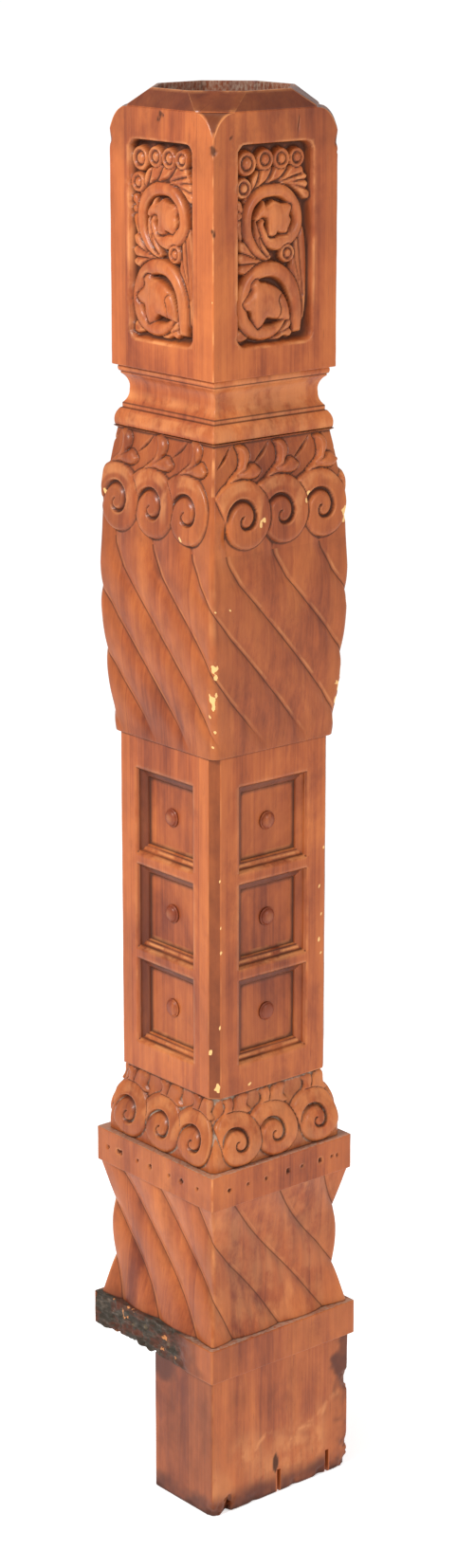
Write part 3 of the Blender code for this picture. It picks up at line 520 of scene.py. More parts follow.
def head_carving(face):
    """The scrolling stem of the head's panel, from what lies deepest to what lies on top."""
    # The plain leaf at the right, the fan over the upper ring and the small leaves round the edge
    shapes = [
        leaf(((39, 1389), (33, 1381), (26, 1374), (25, 1358), (23, 1348), (30, 1337), (36, 1324), (39, 1310),
              (40, 1294), (43.5, 1308), (45, 1337), (44, 1366), (42, 1381)), -4.5, 2.5, 6,
             (((33, 1377), (36, 1350), (40, 1320)), 1.2, 2.5), (((27, 1372), (29, 1355), (35, 1335)), 1, 2)),
        leaf(((-38, 1413), (-36.5, 1421), (-31, 1431), (-28, 1440), (-22, 1446), (-10, 1449), (0, 1450),
              (10, 1450), (20, 1450), (30, 1450), (37, 1448), (39, 1442), (43, 1439.5), (41, 1435.5),
              (28, 1434), (14, 1432), (0, 1431), (-14, 1429), (-26, 1421), (-34, 1411)), -2.6, 2.0, 3.5,
             (((-36, 1416), (-29, 1426), (-22.5, 1434), (-18, 1447)), 3.0, 3.2),
             (((-31, 1421), (-18, 1431), (-8, 1437.5), (-0.5, 1450)), 3.2, 3.6),
             (((-22, 1428), (-2, 1434.5), (10, 1439), (20, 1450)), 3.2, 3.6),
             (((-8, 1432), (12, 1435.5), (26, 1439), (36, 1441)), 2.6, 2.6)),
        leaf(((16, 1433.5), (30, 1434), (40, 1435), (45, 1431), (43, 1426), (47, 1422), (46, 1416.5),
              (40, 1416.5), (34, 1422), (26, 1428)), -2.8, 2.8, 4.5,
             (((20, 1431.5), (32, 1429), (42, 1426)), 1.8, 2.4)),
        leaf(((-38, 1404), (-40, 1412), (-43, 1418.5), (-48, 1418), (-49, 1412), (-46, 1409), (-49, 1405),
              (-46, 1400), (-41, 1400)), -3, 2.6, 4, (((-40, 1406), (-47, 1409)), 1.6, 2)),
        leaf(((-39, 1399), (-46, 1399), (-49, 1394), (-45, 1384), (-41, 1379)), -4, 2.4, 4),
        blade((-16, 1358), (-46, 1378), 11, 1.5, -1.6, 4),
        blade((-16, 1357), (-48, 1364), 11, 1.5, -1.6, 4),
        blade((-16, 1356), (-47, 1351), 10, 1.5, -1.6, 4),
        leaf(((-30, 1284), (-38, 1290), (-46, 1291), (-49, 1286), (-48, 1280), (-40, 1279)), -4, 3, 4),
        leaf(((-4, 1279.5), (6, 1283), (13, 1290), (20, 1297), (24, 1294), (22, 1288), (25, 1284), (21, 1279.5),
              (14, 1281), (6, 1278)), -3, 2.4, 4, (((2, 1281), (12, 1285), (22, 1288.5)), 1.5, 1.8)),
    ]
    for eye in ((-39.8, 1431, 10.2), (29.6, 1457.6, 9.8), (9.4, 1457.6, 10.6), (-11.9, 1457.8, 10.8),
                (-35.7, 1455, 12.4)):
        shapes += bud(*eye)

    # The upper ring winds in under its leaf
    shapes += [
        stem(((-6, 1359), (-22, 1368), (-32.5, 1382), (-35, 1396), (-33.5, 1408), (-27, 1418), (-16, 1425),
              (-3, 1427), (9, 1426), (19, 1421), (27, 1412), (31, 1401), (30.5, 1390), (24, 1381.5),
              (14, 1376.5), (3, 1374.5), (-7, 1378), (-14, 1386), (-16.5, 1394), (-13, 1399)),
             (2.5, 5.5, 6.3, 6.5, 6.5, 6.7, 6.8, 6.8, 6.8, 6.8, 6.6, 6.6, 7, 7.5, 8, 7.5, 6.5, 5, 4, 2.5),
             -0.9, 6),
        stem(((-4, 1360), (-14, 1370), (-21, 1383), (-24, 1397)), (2, 3.6, 3.6, 1), -2.6, 3),
        stem(((-6, 1363), (-13, 1370), (-19, 1381)), (2, 3, 1), -3.2, 2.4),
        leaf(((-25, 1400), (-23, 1406), (-17, 1412), (-13, 1417), (-11, 1412.5), (-6, 1414), (-1, 1417),
              (5, 1415), (11, 1413), (20.5, 1412.5), (23, 1408), (20.5, 1401), (22.5, 1396), (19, 1388),
              (15.5, 1383), (6, 1384.5), (1, 1381), (-7.5, 1381.5), (-9.2, 1388.6), (-8.4, 1395.5),
              (-10.5, 1400), (-15, 1401), (-21, 1398)), 0.2, 5.2, 13,
             (((4, 1386), (7, 1383), (13, 1382), (20, 1382)), 1.5, 1.7)),
        Cut(((-9, 1400), (-8.5, 1392), (-8, 1382.5), (-1, 1380.5), (4, 1383)), 1.6, 1.8, "none"),
        Cut(((4, 1385.5), (8, 1382.5), (19, 1381.5)), 1.4, 1.6, "far"),
    ]

    # The lower ring, its leaf and the bud between the rings
    shapes += [
        stem(((31, 1283), (30.7, 1297), (30, 1309), (27.5, 1322), (22, 1333.5), (14, 1342), (4, 1347.5),
              (-9, 1349), (-22, 1346.5), (-33, 1339), (-40, 1327), (-42.3, 1313), (-39, 1300), (-31, 1291.5),
              (-18, 1286.5), (-5, 1286.5), (6, 1290.5), (15, 1298)),
             (5, 7.6, 8, 8, 8, 8, 8, 8, 8, 8, 7.6, 7.4, 7.6, 7.8, 7.8, 7, 5, 2), -0.8, 6.4),
        leaf(((-17.4, 1337), (-21.7, 1341), (-27.4, 1339.5), (-31, 1335), (-29.6, 1330), (-32.4, 1325.7),
              (-37.4, 1322.5), (-42, 1317), (-37.4, 1311), (-30.3, 1308.6), (-28.9, 1301.4), (-26, 1295),
              (-21.7, 1290.5), (-14.6, 1294.3), (-8.9, 1300.7), (-0.3, 1299.3), (8, 1298), (20.5, 1296.5),
              (21, 1304), (19, 1311), (16, 1318), (11.5, 1324.5), (4.5, 1330), (-3, 1333.5), (-10, 1335.5)),
             0.4, 5, 13,
             (((5.4, 1298), (7.6, 1304.3), (6.9, 1311.4), (4.7, 1317), (6.9, 1321.4), (11.5, 1323)), 1.8, 1.9)),
        *bud(17.5, 1363.5, 9.2),
    ]
    if face in HEAD_CRACKS:
        shapes.append(Cut(HEAD_CRACKS[face], 1.4, 1.6))
    return shapes


def upper_scrolls(face):
    """The tapered cuts, the two-lobed leaves and the scrolls of the swollen length."""
    eyes = UPPER_EYES[face]
    slit = ((-32, 53), (-25, 58), (-17, 64.5), (-9, 73.5))
    outline = ((-25, 30.5), (-22.5, 35), (-16, 41.5), (-7.5, 47.5), (-2, 52.5), (0.2, 60), (-0.8, 68),
               (-3.5, 73.5), (1.2, 75.2), (7.3, 74.5), (12.5, 71), (15.2, 65), (13.8, 58.5), (10.8, 53.8),
               (15, 55.5), (20.5, 54.8), (25, 51), (28.5, 47.5), (26, 43), (20, 39.6), (9.8, 39.2), (0, 40.5),
               (-8.6, 38.8), (-17, 35.2))
    vein = ((11.5, 54), (5, 49), (-4, 45))
    return ([Cut(moved(slit, *eye), 3.4, 2.6) for eye in eyes]
            + [leaf(moved(outline, *eye), 1, 6.5, 8, (moved(vein, *eye), 1.5, 3), wall=1.5) for eye in eyes]
            + [Scroll(*eye, UPPER_SCROLL) for eye in eyes[::-1]])


def lower_scrolls(face):
    """The small two-lobed leaves and the scrolls of the lower band."""
    eyes = LOWER_EYES[face]
    outline = ((-24, 26), (-17, 32.3), (-12, 36.5), (-10.8, 42.5), (-13.8, 48.5), (-7, 50.8), (-1, 49),
               (1.6, 46.2), (6.5, 50), (14, 51.3), (21, 49.5), (22, 44), (19.5, 37), (25, 30), (12, 28),
               (-6, 28))
    vein = ((1.6, 47), (1, 42), (-1, 36))
    return ([leaf(moved(outline, *eye), -0.2, 3.2, 6, (moved(vein, *eye), 1.6, 2.4), wall=1.3) for eye in eyes]
            + [Scroll(*eye, LOWER_SCROLL) for eye in eyes[::-1]])


def nail_holes(face):
    return [Pit(u, NAIL_HEIGHT, radius, NAIL_DEPTH) for u, radius in NAIL_HOLES[face]]


def no_shapes(face):
    return []


# Grounds: how high the bare surface of a length lies, before its shapes are carved


def rib_shift(z):
    """How far the rib lines have moved sideways at a height, in faces."""
    bulb = np.interp(z, [SHAFT_TOP, 1035, 1060, 1085], [0.61, -0.29, -0.37, -0.395])
    middle = (z - LOWER_BAND_TOP) / (WAIST_TOP - LOWER_BAND_TOP)
    waist = 2 / RIBS_PER_FACE * (1 - middle) + 0.05 * np.sin(math.pi * middle) * np.cos(math.pi * middle)
    return np.where(z > WAIST_TOP, bulb, waist)


def rib_phase(turn, z):
    """Place between two valleys, from 0 at one to 1 at the next."""
    return ((turn - 0.5 - rib_shift(z)) * RIBS_PER_FACE) % 1


def ribs_ground(turn, z, crest, depth):
    """Rounded ribs with a sharp valley between."""
    phase = rib_phase(turn, z)
    away = np.where(phase < crest, phase / crest, (1 - phase) / (1 - crest))
    return -depth * (1 - away) ** 2.2


def bulb_ground(turn, u, z):
    """The ribs give way to the sunk ground over the scrolls."""
    ribs = ribs_ground(turn, z, BULB_CREST, chosen("bulb_flute")) * past(z, SHAFT_TOP - 6, 40)
    half = (turn % 1 - 0.5) * 2
    ribs = ribs * (1 - 0.4 * past(np.abs(half), 0.8, 0.2))
    sunk = 3 * past(z, 1016, 60)
    share = past(z, 1100, 24)
    carved = ribs * past(z, 1104, -20) - sunk * (1 - share) - SCROLL_GROUND * share
    return carved * past(z, BULB_TOP, -2.5)


def waist_ground(turn, u, z):
    return ribs_ground(turn, z, WAIST_CREST, chosen("waist_flute"))


def lower_scroll_ground(turn, u, z):
    return -SCROLL_GROUND * past(z, SCROLLS_TOP - 1, -2.5)


def flat_ground(turn, u, z):
    return np.zeros(np.shape(u))


def panel_rings():
    """Each sunk panel as nested squares: half size and depth, by steps of the moulding inwards and down."""
    steps = [(0, 0), (0.05, 0.2), (0.17, 0.24)]
    angles = [math.pi / 2 * i / 5 for i in range(1, 6)]
    steps += [(0.17 + 0.26 * (1 - math.cos(angle)), 0.24 + 0.34 * math.sin(angle)) for angle in angles]
    steps += [(0.5, 0.6), (0.56, 0.64)]
    steps += [(0.56 + 0.34 * math.sin(angle), 0.64 + 0.2 * (1 - math.cos(angle))) for angle in angles]
    steps += [(0.93, 0.96), (1.0, 1.0)]
    return [(PANEL_SIZE / 2 - PANEL_MOULDING * inward, -PANEL_DEPTH * down) for inward, down in steps]


def panel_middle(index):
    return PANEL_MIDDLE + (index - (PANELS - 1) / 2) * PANEL_PITCH


def shaft_ground(turn, u, z):
    height = np.zeros(np.shape(u))
    halves, depths = zip(*panel_rings()[::-1])
    for i in range(PANELS):
        across = np.maximum(np.abs(u), np.abs(z - panel_middle(i)))
        height = np.where(across < halves[-1], np.interp(across, halves, depths), height)
    return height


def rounded_square(left, right, bottom, top, corner, steps=8):
    centres = ((right - corner, top - corner), (left + corner, top - corner),
               (left + corner, bottom + corner), (right - corner, bottom + corner))
    angles = [[math.pi / 2 * (quarter + i / steps) for i in range(steps + 1)] for quarter in range(4)]
    return np.array([(x + corner * math.cos(angle), z + corner * math.sin(angle))
                     for (x, z), quarter in zip(centres, angles) for angle in quarter])


def head_ground(turn, u, z):
    """The panel's opening falls steeply at its left and top, and as a hollow at its right and bottom."""
    opening = rounded_square(-RELIEF_HALF, RELIEF_HALF, RELIEF_BOTTOM, RELIEF_TOP, RELIEF_CORNER)
    ground = rounded_square(-RELIEF_HALF + RELIEF_WALL, RELIEF_HALF - RELIEF_DISH, RELIEF_BOTTOM + RELIEF_DISH,
                            RELIEF_TOP - RELIEF_WALL, RELIEF_CORNER - RELIEF_WALL)
    to_opening = distance_to(u, z, opening, True)
    to_ground = distance_to(u, z, ground, True)
    share = to_opening / np.maximum(to_opening + to_ground, 1e-6)
    share = np.where(inside(u, z, ground), 1, np.sin(share * math.pi / 2))
    return np.where(inside(u, z, opening), -chosen("relief") * share, 0)


# Sections: height, half size, leg of the corner and its roundness, from the length's lower end up its outside


def evenly(start, end, steps):
    """Values from start to end, both included."""
    return [start + (end - start) * i / steps for i in range(steps + 1)]


def spaced(stops, steps):
    """Values from the first stop to the last, each stretch cut into equal steps of about the size given."""
    values = [stops[0]]
    for a, b, step in zip(stops, stops[1:], steps):
        values += evenly(a, b, max(1, round(abs(b - a) / step)))[1:]
    return values


def soften(points, radius):
    """Rounds each sharp turn of a section's line."""
    p = [np.array(x, float) for x in points]
    found = [p[0]]
    for before, here, after in zip(p, p[1:], p[2:]):
        a, b = before - here, after - here
        la, lb = math.hypot(*a[:2]), math.hypot(*b[:2])
        cut = min(radius, 0.4 * la, 0.4 * lb)
        if cut < 0.001 or -(a[0] * b[0] + a[1] * b[1]) / (la * lb) > 0.96:
            found.append(here)
            continue
        start, end = here + a / la * cut, here + b / lb * cut
        found += [start * (1 - t) ** 2 + here * 2 * t * (1 - t) + end * t**2 for t in (0, 0.33, 0.67, 1)]
    return found + [p[-1]]


def closed_section(outside):
    """Rows up the outside and down the bore, and how many of them are outside."""
    bore = [(z, BORE_HALF, ARRIS, 1) for z in evenly(outside[-1][0], outside[0][0], 6)]
    return np.array([*outside, *bore]), len(outside)


def section_rows(outside, step, rounding=1.2):
    """The closed section with its turns rounded, cut into rows; step gives the spacing wanted at a height."""
    outside = soften(outside, rounding)
    rows = [outside[0]]
    for a, b in zip(outside, outside[1:]):
        wanted = step((a[0] + b[0]) / 2) if callable(step) else step
        rows += evenly(a, b, max(1, round(math.hypot(b[0] - a[0], b[1] - a[1]) / wanted)))[1:]
    return closed_section(rows)


def arc(start, end, bulge, steps):
    """Points from start to end, bowed to the left of the way by bulge; the start is left out."""
    (x0, y0), (x1, y1) = start, end
    length = math.hypot(x1 - x0, y1 - y0)
    nx, ny = -(y1 - y0) / length, (x1 - x0) / length
    points = []
    for t in evenly(0, 1, steps)[1:]:
        out = 4 * t * (1 - t) * bulge
        points.append((x0 + (x1 - x0) * t + nx * out, y0 + (y1 - y0) * t + ny * out))
    return points


def plain(points, leg):
    return [(z, half, leg, 1) for z, half in points]


def foot_section():
    return plain([(0, FOOT_HALF - 12), (0, FOOT_HALF - 1.5), (2, FOOT_HALF), (FOOT_TOP, FOOT_HALF)], FOOT_ARRIS)


def lower_band_section():
    return plain([(FOOT_TOP, FOOT_HALF - 10), (FOOT_TOP, LOWER_BAND_HALF), (LOWER_BAND_TOP, LOWER_BAND_HALF),
                  (LOWER_BAND_TOP - 0.6, WAIST_FOOT_HALF - 5)], BAND_ARRIS)


def waist_section():
    middle = (WAIST_TOP + LOWER_BAND_TOP) / 2
    rows = []
    for z in evenly(LOWER_BAND_TOP, WAIST_TOP, 24):
        end = WAIST_FOOT_HALF if z < middle else WAIST_HEAD_HALF
        share = abs(z - middle) / (WAIST_TOP - middle)
        rows.append((z, WAIST_HALF + (end - WAIST_HALF) * share**2.4))
    return plain(rows, SOFT_CORNER)


def nailing_band_section():
    return plain([(WAIST_TOP, WAIST_HEAD_HALF - 10), (WAIST_TOP, NAIL_BAND_HALF),
                  (NAIL_BAND_TOP, NAIL_BAND_HALF), (NAIL_BAND_TOP - 0.4, SCROLL_HALF - 7)], NAIL_ARRIS)


def scroll_band_section():
    rows = []
    for t in evenly(0, 1, 20):
        fall = 0.5 - 0.5 * math.cos(math.pi * min(1, max(0, (t - 0.12) / 0.78)))
        rows.append((NAIL_BAND_TOP + (SCROLLS_TOP - NAIL_BAND_TOP) * t,
                     SCROLL_HALF + (SHAFT_HALF - SCROLL_HALF) * fall, SHAFT_CHAMFER, 1 - past(t, 0.72, 0.26)))
    return rows


def shaft_section():
    """Rows along every step of the panels' mouldings, so that each edge of them is sharp."""
    halves = [half for half, _ in panel_rings()]
    heights = [SCROLLS_TOP]
    for i in range(PANELS):
        middle = panel_middle(i)
        edges = [middle - half for half in halves]
        edges += [middle + x for x in spaced([-halves[-1], halves[-1]], [4.5])[1:-1]]
        edges += [middle + half for half in halves[::-1]]
        heights += spaced([heights[-1], edges[0]], [3])[1:-1] + edges
    heights += spaced([heights[-1], SHAFT_TOP], [3])[1:]
    return closed_section([(z, SHAFT_HALF, SHAFT_CHAMFER, 0) for z in heights])


def bulb_section(low, high):
    """The swollen length between two heights; at its real ends a ledge runs in under or over the neighbour."""
    rows = []
    for z in evenly(low, high, 30):
        if z <= BULB_WIDEST:
            t = (z - SHAFT_TOP) / (BULB_WIDEST - SHAFT_TOP)
            half = BULB_HALF + (BULB_FOOT_HALF - BULB_HALF) * (1 - t) ** 2
        else:
            t = (z - BULB_WIDEST) / (BULB_TOP - BULB_WIDEST)
            half = BULB_HALF + (BULB_HEAD_HALF - BULB_HALF) * t**1.9
        up = (z - SHAFT_TOP) / (BULB_TOP - SHAFT_TOP)
        rows.append((z, half, SHAFT_CHAMFER + (SOFT_CORNER - SHAFT_CHAMFER) * up, 1))
    if low == SHAFT_TOP:
        rows.insert(0, (low, SHAFT_HALF - 8, SHAFT_CHAMFER, 1))
    if high == BULB_TOP:
        rows.append((high, BULB_HEAD_HALF - 8, SOFT_CORNER, 1))
    return rows


def neck_section():
    """A torus, a fillet, a long hollow and a bead."""
    torus_top = BULB_TOP + 18
    fillet_top = torus_top + 5
    bead_foot = HEAD_BOTTOM - 7
    rows = [(BULB_TOP, BULB_HEAD_HALF - 9), (BULB_TOP + 0.6, BULB_HEAD_HALF - 2)]
    rows += arc(rows[-1], (torus_top, NECK_BEAD_HALF - 1), 2.2, 10)
    rows += [(torus_top + 0.6, NECK_BEAD_HALF - 2.7), (fillet_top, NECK_BEAD_HALF - 2.5)]
    rows += arc(rows[-1], (fillet_top + 14, NECK_HALF), -1.6, 6)
    rows += arc(rows[-1], (bead_foot - 2, NECK_BEAD_HALF - 1.5), -2.6, 8)
    rows += [(bead_foot, NECK_BEAD_HALF - 1.7), (bead_foot + 0.4, NECK_BEAD_HALF - 0.2)]
    rows += arc(rows[-1], (HEAD_BOTTOM, NECK_BEAD_HALF - 0.2), 0.9, 5)
    return plain(rows, NECK_ARRIS)


def head_section():
    """The square head, the shoulder that turns it into an octagon, the rim and the mouth."""
    rows = [(HEAD_BOTTOM, NECK_BEAD_HALF - 8, ARRIS, 1), (HEAD_BOTTOM, HEAD_HALF, ARRIS, 1)]
    for angle in evenly(0, math.pi / 2, 14):
        leg = SHOULDER_IN * (1 - math.cos(angle))
        rows.append((SHOULDER_START + (HEAD_TOP - SHOULDER_START) * math.sin(angle), HEAD_HALF,
                     max(ARRIS, leg), max(0, 1 - leg / 4)))
    fillet = HEAD_HALF - FILLET_IN
    mouth = RIM_HALF - RIM_WALL
    rows += [(HEAD_TOP + 0.3, fillet, SHOULDER_IN, 0),
             (HEAD_TOP + FILLET_UP, fillet, SHOULDER_IN + FILLET_IN, 0)]
    return rows + [(z, half, half * OCTAGON_LEG, 0) for z, half in (
        (RIM_TOP, RIM_HALF), (RIM_TOP, mouth), (RIM_TOP - MOUTH_DEPTH, mouth))]


def face_columns(flat, corner_steps):
    """One face's columns, left corner to right: place along the flat, place round the corner, and side."""
    half = [(p, 0.0) for p in flat] + [(1.0, (i + 1) / corner_steps) for i in range(corner_steps)]
    left = [(p, q, -1.0) for p, q in half[::-1]]
    right = [(p, q, 1.0) for p, q in half[1:]]
    return np.array(left + right[:-1])


def spaced_columns(half, leg, steps, stops=(), corner_steps=3):
    """Columns of a face: stops from its middle, the spacing between them, and the rest up to the corner."""
    flat = half - leg
    return face_columns(np.array(spaced([0, *stops, flat], steps)) / flat, corner_steps)


def shaft_columns():
    """Columns along every step of the panels' mouldings."""
    flat = SHAFT_HALF - SHAFT_CHAMFER
    halves = [half for half, _ in panel_rings()][::-1]
    middle = spaced([0, halves[0]], [4.5])[:-1]
    margin = spaced([halves[-1], flat - 1, flat], [3, 1])[1:]
    return face_columns(np.array(middle + halves + margin) / flat, 6)


class Sheet:
    """The places, carving and masks of one length of the post, as arrays of rows by columns."""

    def __init__(self, section, columns, slant=None):
        """columns is one face's, or with a slant the number all round, which lean with height."""
        rows, self.outer = section
        z, half, self.leg, self.roundness = (rows[:, i][:, None] for i in range(4))
        if slant is None:
            p, q, side = (np.tile(columns[:, i], 4)[None, :] for i in range(3))
            self.face = np.repeat(np.arange(4), len(columns))[None, :] + np.zeros(z.shape, int)
            self.u = side * (p * (half - self.leg) + q * self.leg)
            self.turn = self.face + 0.5 + self.u / (2 * half)
        else:
            self.turn = (np.arange(columns)[None, :] / columns * 4 + slant(z) + 0.5) % 4
            self.face = np.minimum(self.turn.astype(int), 3)
            self.u = (self.turn - self.face - 0.5) * 2 * half
        self.side = np.where(self.u < 0, -1.0, 1.0)
        self.q = np.clip((np.abs(self.u) - (half - self.leg)) / self.leg, 0, 1)
        self.z = z + np.zeros_like(self.u)
        self.half = half + np.zeros_like(self.u)
        self.height = np.zeros_like(self.u)
        self.outside = (np.arange(len(rows)) < self.outer)[:, None]
        self.masks = {name: np.zeros_like(self.u) for name in MASKS}

    def across(self, face):
        """Distance from a face's middle line, running on past its corners, the short way round."""
        away = (self.turn - FACES.index(face) - 0.5 + 2) % 4 - 2
        return away * 2 * self.half

    def within(self, face, reach):
        return np.abs(self.across(face)) < reach

    def noise(self, spacing, seed):
        return value_noise(self.points, spacing, seed)

    def mark(self, mask, strength):
        """Raises a mask to a strength where it is weaker."""
        self.masks[mask] = np.maximum(self.masks[mask], strength)

    def paint(self, mask, place, strength):
        """Sets a mask in a place, whatever it was."""
        self.masks[mask] = np.where(place, strength, self.masks[mask])

    def carve(self, ground, shapes=no_shapes):
        """Cuts the ground, and then on each face its shapes in order."""
        outer = slice(self.outer)
        z = self.z[outer]
        height = ground(self.turn[outer], self.u[outer], z)
        for face in FACES:
            u = self.across(face)[outer]
            close = np.abs(u) < self.half[outer] * 1.5
            part_u, part_z, part = u[close], z[close], height[close]
            for shape in shapes(face):
                shape.apply(part_u, part_z, part)
            height[close] = part
        self.height[outer] = height

    def build(self, seed):
        """Places in space, with the hand-cut unevenness."""
        half, leg, q = self.half, self.leg, self.q
        angle = q * math.pi / 4
        along = np.abs(self.u)
        flat_x, flat_y = half - leg + q * leg / 2, half - q * leg / 2
        round_x, round_y = half - leg + leg * np.sin(angle), half - leg + leg * np.cos(angle)
        corner = q > 0
        x = np.where(corner, flat_x * (1 - self.roundness) + round_x * self.roundness, along)
        y = np.where(corner, flat_y * (1 - self.roundness) + round_y * self.roundness, half)
        lean = np.clip((along / half - (1 - CORNER_SHARE)) / CORNER_SHARE, 0, 1)
        place = self.turned(self.side * x, -y)
        wander = 0.6 * value_noise(place, 34, seed) + 0.3 * value_noise(place, 9, seed + 1)
        wander += 0.35 * value_noise(place, (3, 3, 40), seed + 2)
        height = self.height + chosen("unevenness") * wander * self.outside
        self.points = self.turned(self.side * (x + height * lean), -(y + height))

    def turned(self, x, y):
        """A place on the front face, turned to the face of its column."""
        points = np.zeros((*self.u.shape, 3))
        for index, (c, s) in enumerate(FACE_TURNS):
            here = self.face == index
            points[here, 0] = (x * c - y * s)[here]
            points[here, 1] = (x * s + y * c)[here]
        points[..., 2] = self.z
        return points

    def chips(self, mask, *chips):
        """Knocks hollows into the surface; each has a place in space, a radius and a depth."""
        for x, y, z, radius, depth in chips:
            flat = self.points[: self.outer].reshape(-1, 3)
            nearest = flat[np.argmin(np.linalg.norm(flat - (x, y, z), axis=-1))]
            away = np.linalg.norm((self.points - nearest) * (1, 1, 0.7), axis=-1) / radius
            strength = rise(1.15 - away * (1 + 0.6 * self.noise(3.5, 7)))
            level = self.points[..., :2]
            inward = -level / np.maximum(np.linalg.norm(level, axis=-1), 1e-3)[..., None]
            level += inward * (depth * strength)[..., None]
            self.mark(mask, strength)

    def valleys(self, pitch, reach):
        """Dirt and painted shade along the bottom of each valley, painted shade on its left bank and a painted
        highlight on its right bank.
        """
        phase = rib_phase(self.turn, self.z)
        left, right = (1 - phase) * pitch, phase * pitch
        noise = self.noise(20, 33)
        self.mark("dirt_and_shade", reach * 0.95 * rise(1 - np.minimum(left, right) / 2.1))
        self.mark("stain_and_shade", reach * 0.55 * rise(1 - left / 16) * (0.8 + 0.4 * noise))
        self.mark("wear_and_highlight", reach * near(right, 4, 2.6) * (0.45 + 0.3 * noise))

    def paint_scroll_shading(self, eyes, reach):
        """Painted shade in the groove of each scroll, and a painted highlight on the upper left of its rim."""
        for face in FACES:
            u = self.across(face)
            for eye_u, eye_z in eyes[face]:
                right, up = u - eye_u, self.z - eye_z
                away = np.hypot(right, up)
                self.mark("stain_and_shade", 0.95 * past(away, reach, -4) * rise(-self.height / 3.4))
                rim = past(away, reach, 4) * past(away, reach + 15, -5)
                self.mark("wear_and_highlight", 0.5 * rim * rise((up - 0.6 * right) / 24) * past(self.height, -2.2, 1.5))

    def hollowness(self, rounds):
        """How far the surface lies behind its own average over some cells; less than 0 on edges."""
        soft = self.points.copy()
        outer = self.outer
        for _ in range(rounds):
            rows = soft[:outer]
            up, down = np.vstack([rows[1:], rows[-1:]]), np.vstack([rows[:1], rows[:-1]])
            rows = (np.roll(rows, 1, 1) + np.roll(rows, -1, 1) + up + down) / 4
            rows[0], rows[-1] = soft[0], soft[outer - 1]
            soft[:outer] = rows
        along = np.roll(self.points, -1, 1) - np.roll(self.points, 1, 1)
        rows = self.points
        up = np.concatenate([rows[1:], rows[:1]]) - np.concatenate([rows[-1:], rows[:-1]])
        normal = np.cross(along, up)
        normal /= np.maximum(np.linalg.norm(normal, axis=-1), 1e-6)[..., None]
        return np.sum((soft - self.points) * normal, axis=-1) * self.outside

    def weather(self, seed, joints=(), dusty=0.0, fine=3, broad=14, sunk=0.0, sunk_at=6, edges=1.0,
                corners=1.0):
        """Dirt and painted shade in the hollows and along the joints, painted shade darkening what is cut deep,
        wear on the edges and dust in the corners.
        """
        self.mark("stain_and_shade", sunk * rise(-self.height / sunk_at))
        close, far = self.hollowness(fine), self.hollowness(broad)
        noise = self.noise(14, seed + 5)
        dirt_and_shade = past(close, 0.03, 0.5) * 0.75 + past(far, 0.1, 2) * 0.5
        for joint in joints:
            dirt_and_shade = np.maximum(dirt_and_shade, near(self.z, joint, 1.6) * (0.75 + 0.3 * noise))
        self.mark("dirt_and_shade", np.clip(dirt_and_shade, 0, 1))
        wear_and_highlight = past(close, -0.1, -0.5) * 0.8 * edges * (0.7 + 0.6 * noise)
        corner = past(self.q, 0.15, 0.4) * (self.leg < 4) * (0.45 + 0.6 * self.noise(9, seed + 6)) * corners
        self.mark("wear_and_highlight", np.clip(np.maximum(wear_and_highlight, corner), 0, 1))
        self.mark("dust", dusty * rise(far / 1.1) * (0.6 + 0.6 * noise))


# Objects


def deselect_all():
    if bpy.context.object and bpy.context.object.mode != "OBJECT":
        bpy.ops.object.mode_set(mode="OBJECT")
    bpy.ops.object.select_all(action="DESELECT")


def write_layer(mesh, name, values):
    """Writes one value for each vertex; whole numbers stay whole."""
    values = np.asarray(values)
    whole = values.dtype.kind == "i"
    layer = mesh.attributes.new(name, "INT" if whole else "FLOAT", "POINT")
    layer.data.foreach_set("value", values.astype(np.int32 if whole else np.float32))


def read_places(mesh):
    flat = np.zeros(len(mesh.vertices) * 3, np.float32)
    mesh.vertices.foreach_get("co", flat)
    return flat.reshape(-1, 3)


def sheet_object(name, sheet):
    """Adds a grid, bends it to the sheet, and joins its edges into a closed ring."""
    rows, columns = sheet.u.shape
    deselect_all()
    bpy.ops.mesh.primitive_grid_add(x_subdivisions=columns, y_subdivisions=rows, size=1)
    piece = bpy.context.object
    piece.name = piece.data.name = name
    mesh = piece.data
    flat = read_places(mesh)
    column = np.rint((flat[:, 0] + 0.5) * columns).astype(int) % columns
    row = np.rint((flat[:, 1] + 0.5) * rows).astype(int) % rows
    mesh.vertices.foreach_set("co", (sheet.points[row, column] * MM).astype(np.float32).ravel())
    for mask, values in sheet.masks.items():
        write_layer(mesh, mask, np.clip(values[row, column], 0, 1))
    write_layer(mesh, "row", row)
    bpy.ops.object.mode_set(mode="EDIT")
    bpy.ops.mesh.select_all(action="SELECT")
    bpy.ops.mesh.remove_doubles(threshold=1e-6)
    bpy.ops.mesh.select_all(action="DESELECT")
    bpy.ops.object.mode_set(mode="OBJECT")
    bpy.ops.object.shade_smooth()
    crease_ends(mesh, (0, sheet.outer - 1))
    return piece


def crease_ends(mesh, ends):
    """Keeps the first and last outer rows sharp, so that the hidden ends don't shade the surface."""
    rows = np.zeros(len(mesh.vertices), np.int32)
    mesh.attributes["row"].data.foreach_get("value", rows)
    pairs = np.zeros(len(mesh.edges) * 2, np.int32)
    mesh.edges.foreach_get("vertices", pairs)
    pairs = rows[pairs.reshape(-1, 2)]
    sharp = (pairs[:, 0] == pairs[:, 1]) & np.isin(pairs[:, 0], ends)
    mesh.edges.foreach_set("use_edge_sharp", sharp)
    mesh.attributes.remove(mesh.attributes["row"])


def settle(piece, node, slot):
    """Gives a finished piece its wood and ties it to the frame."""
    piece.data.materials.clear()
    piece.data.materials.append(wood_of(slot))
    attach(piece, "root")
    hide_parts(node)


def add_length(name, sheet):
    settle(sheet_object(name, sheet), "post", "carved_wood")
    return {"FINISHED"}


# Materials


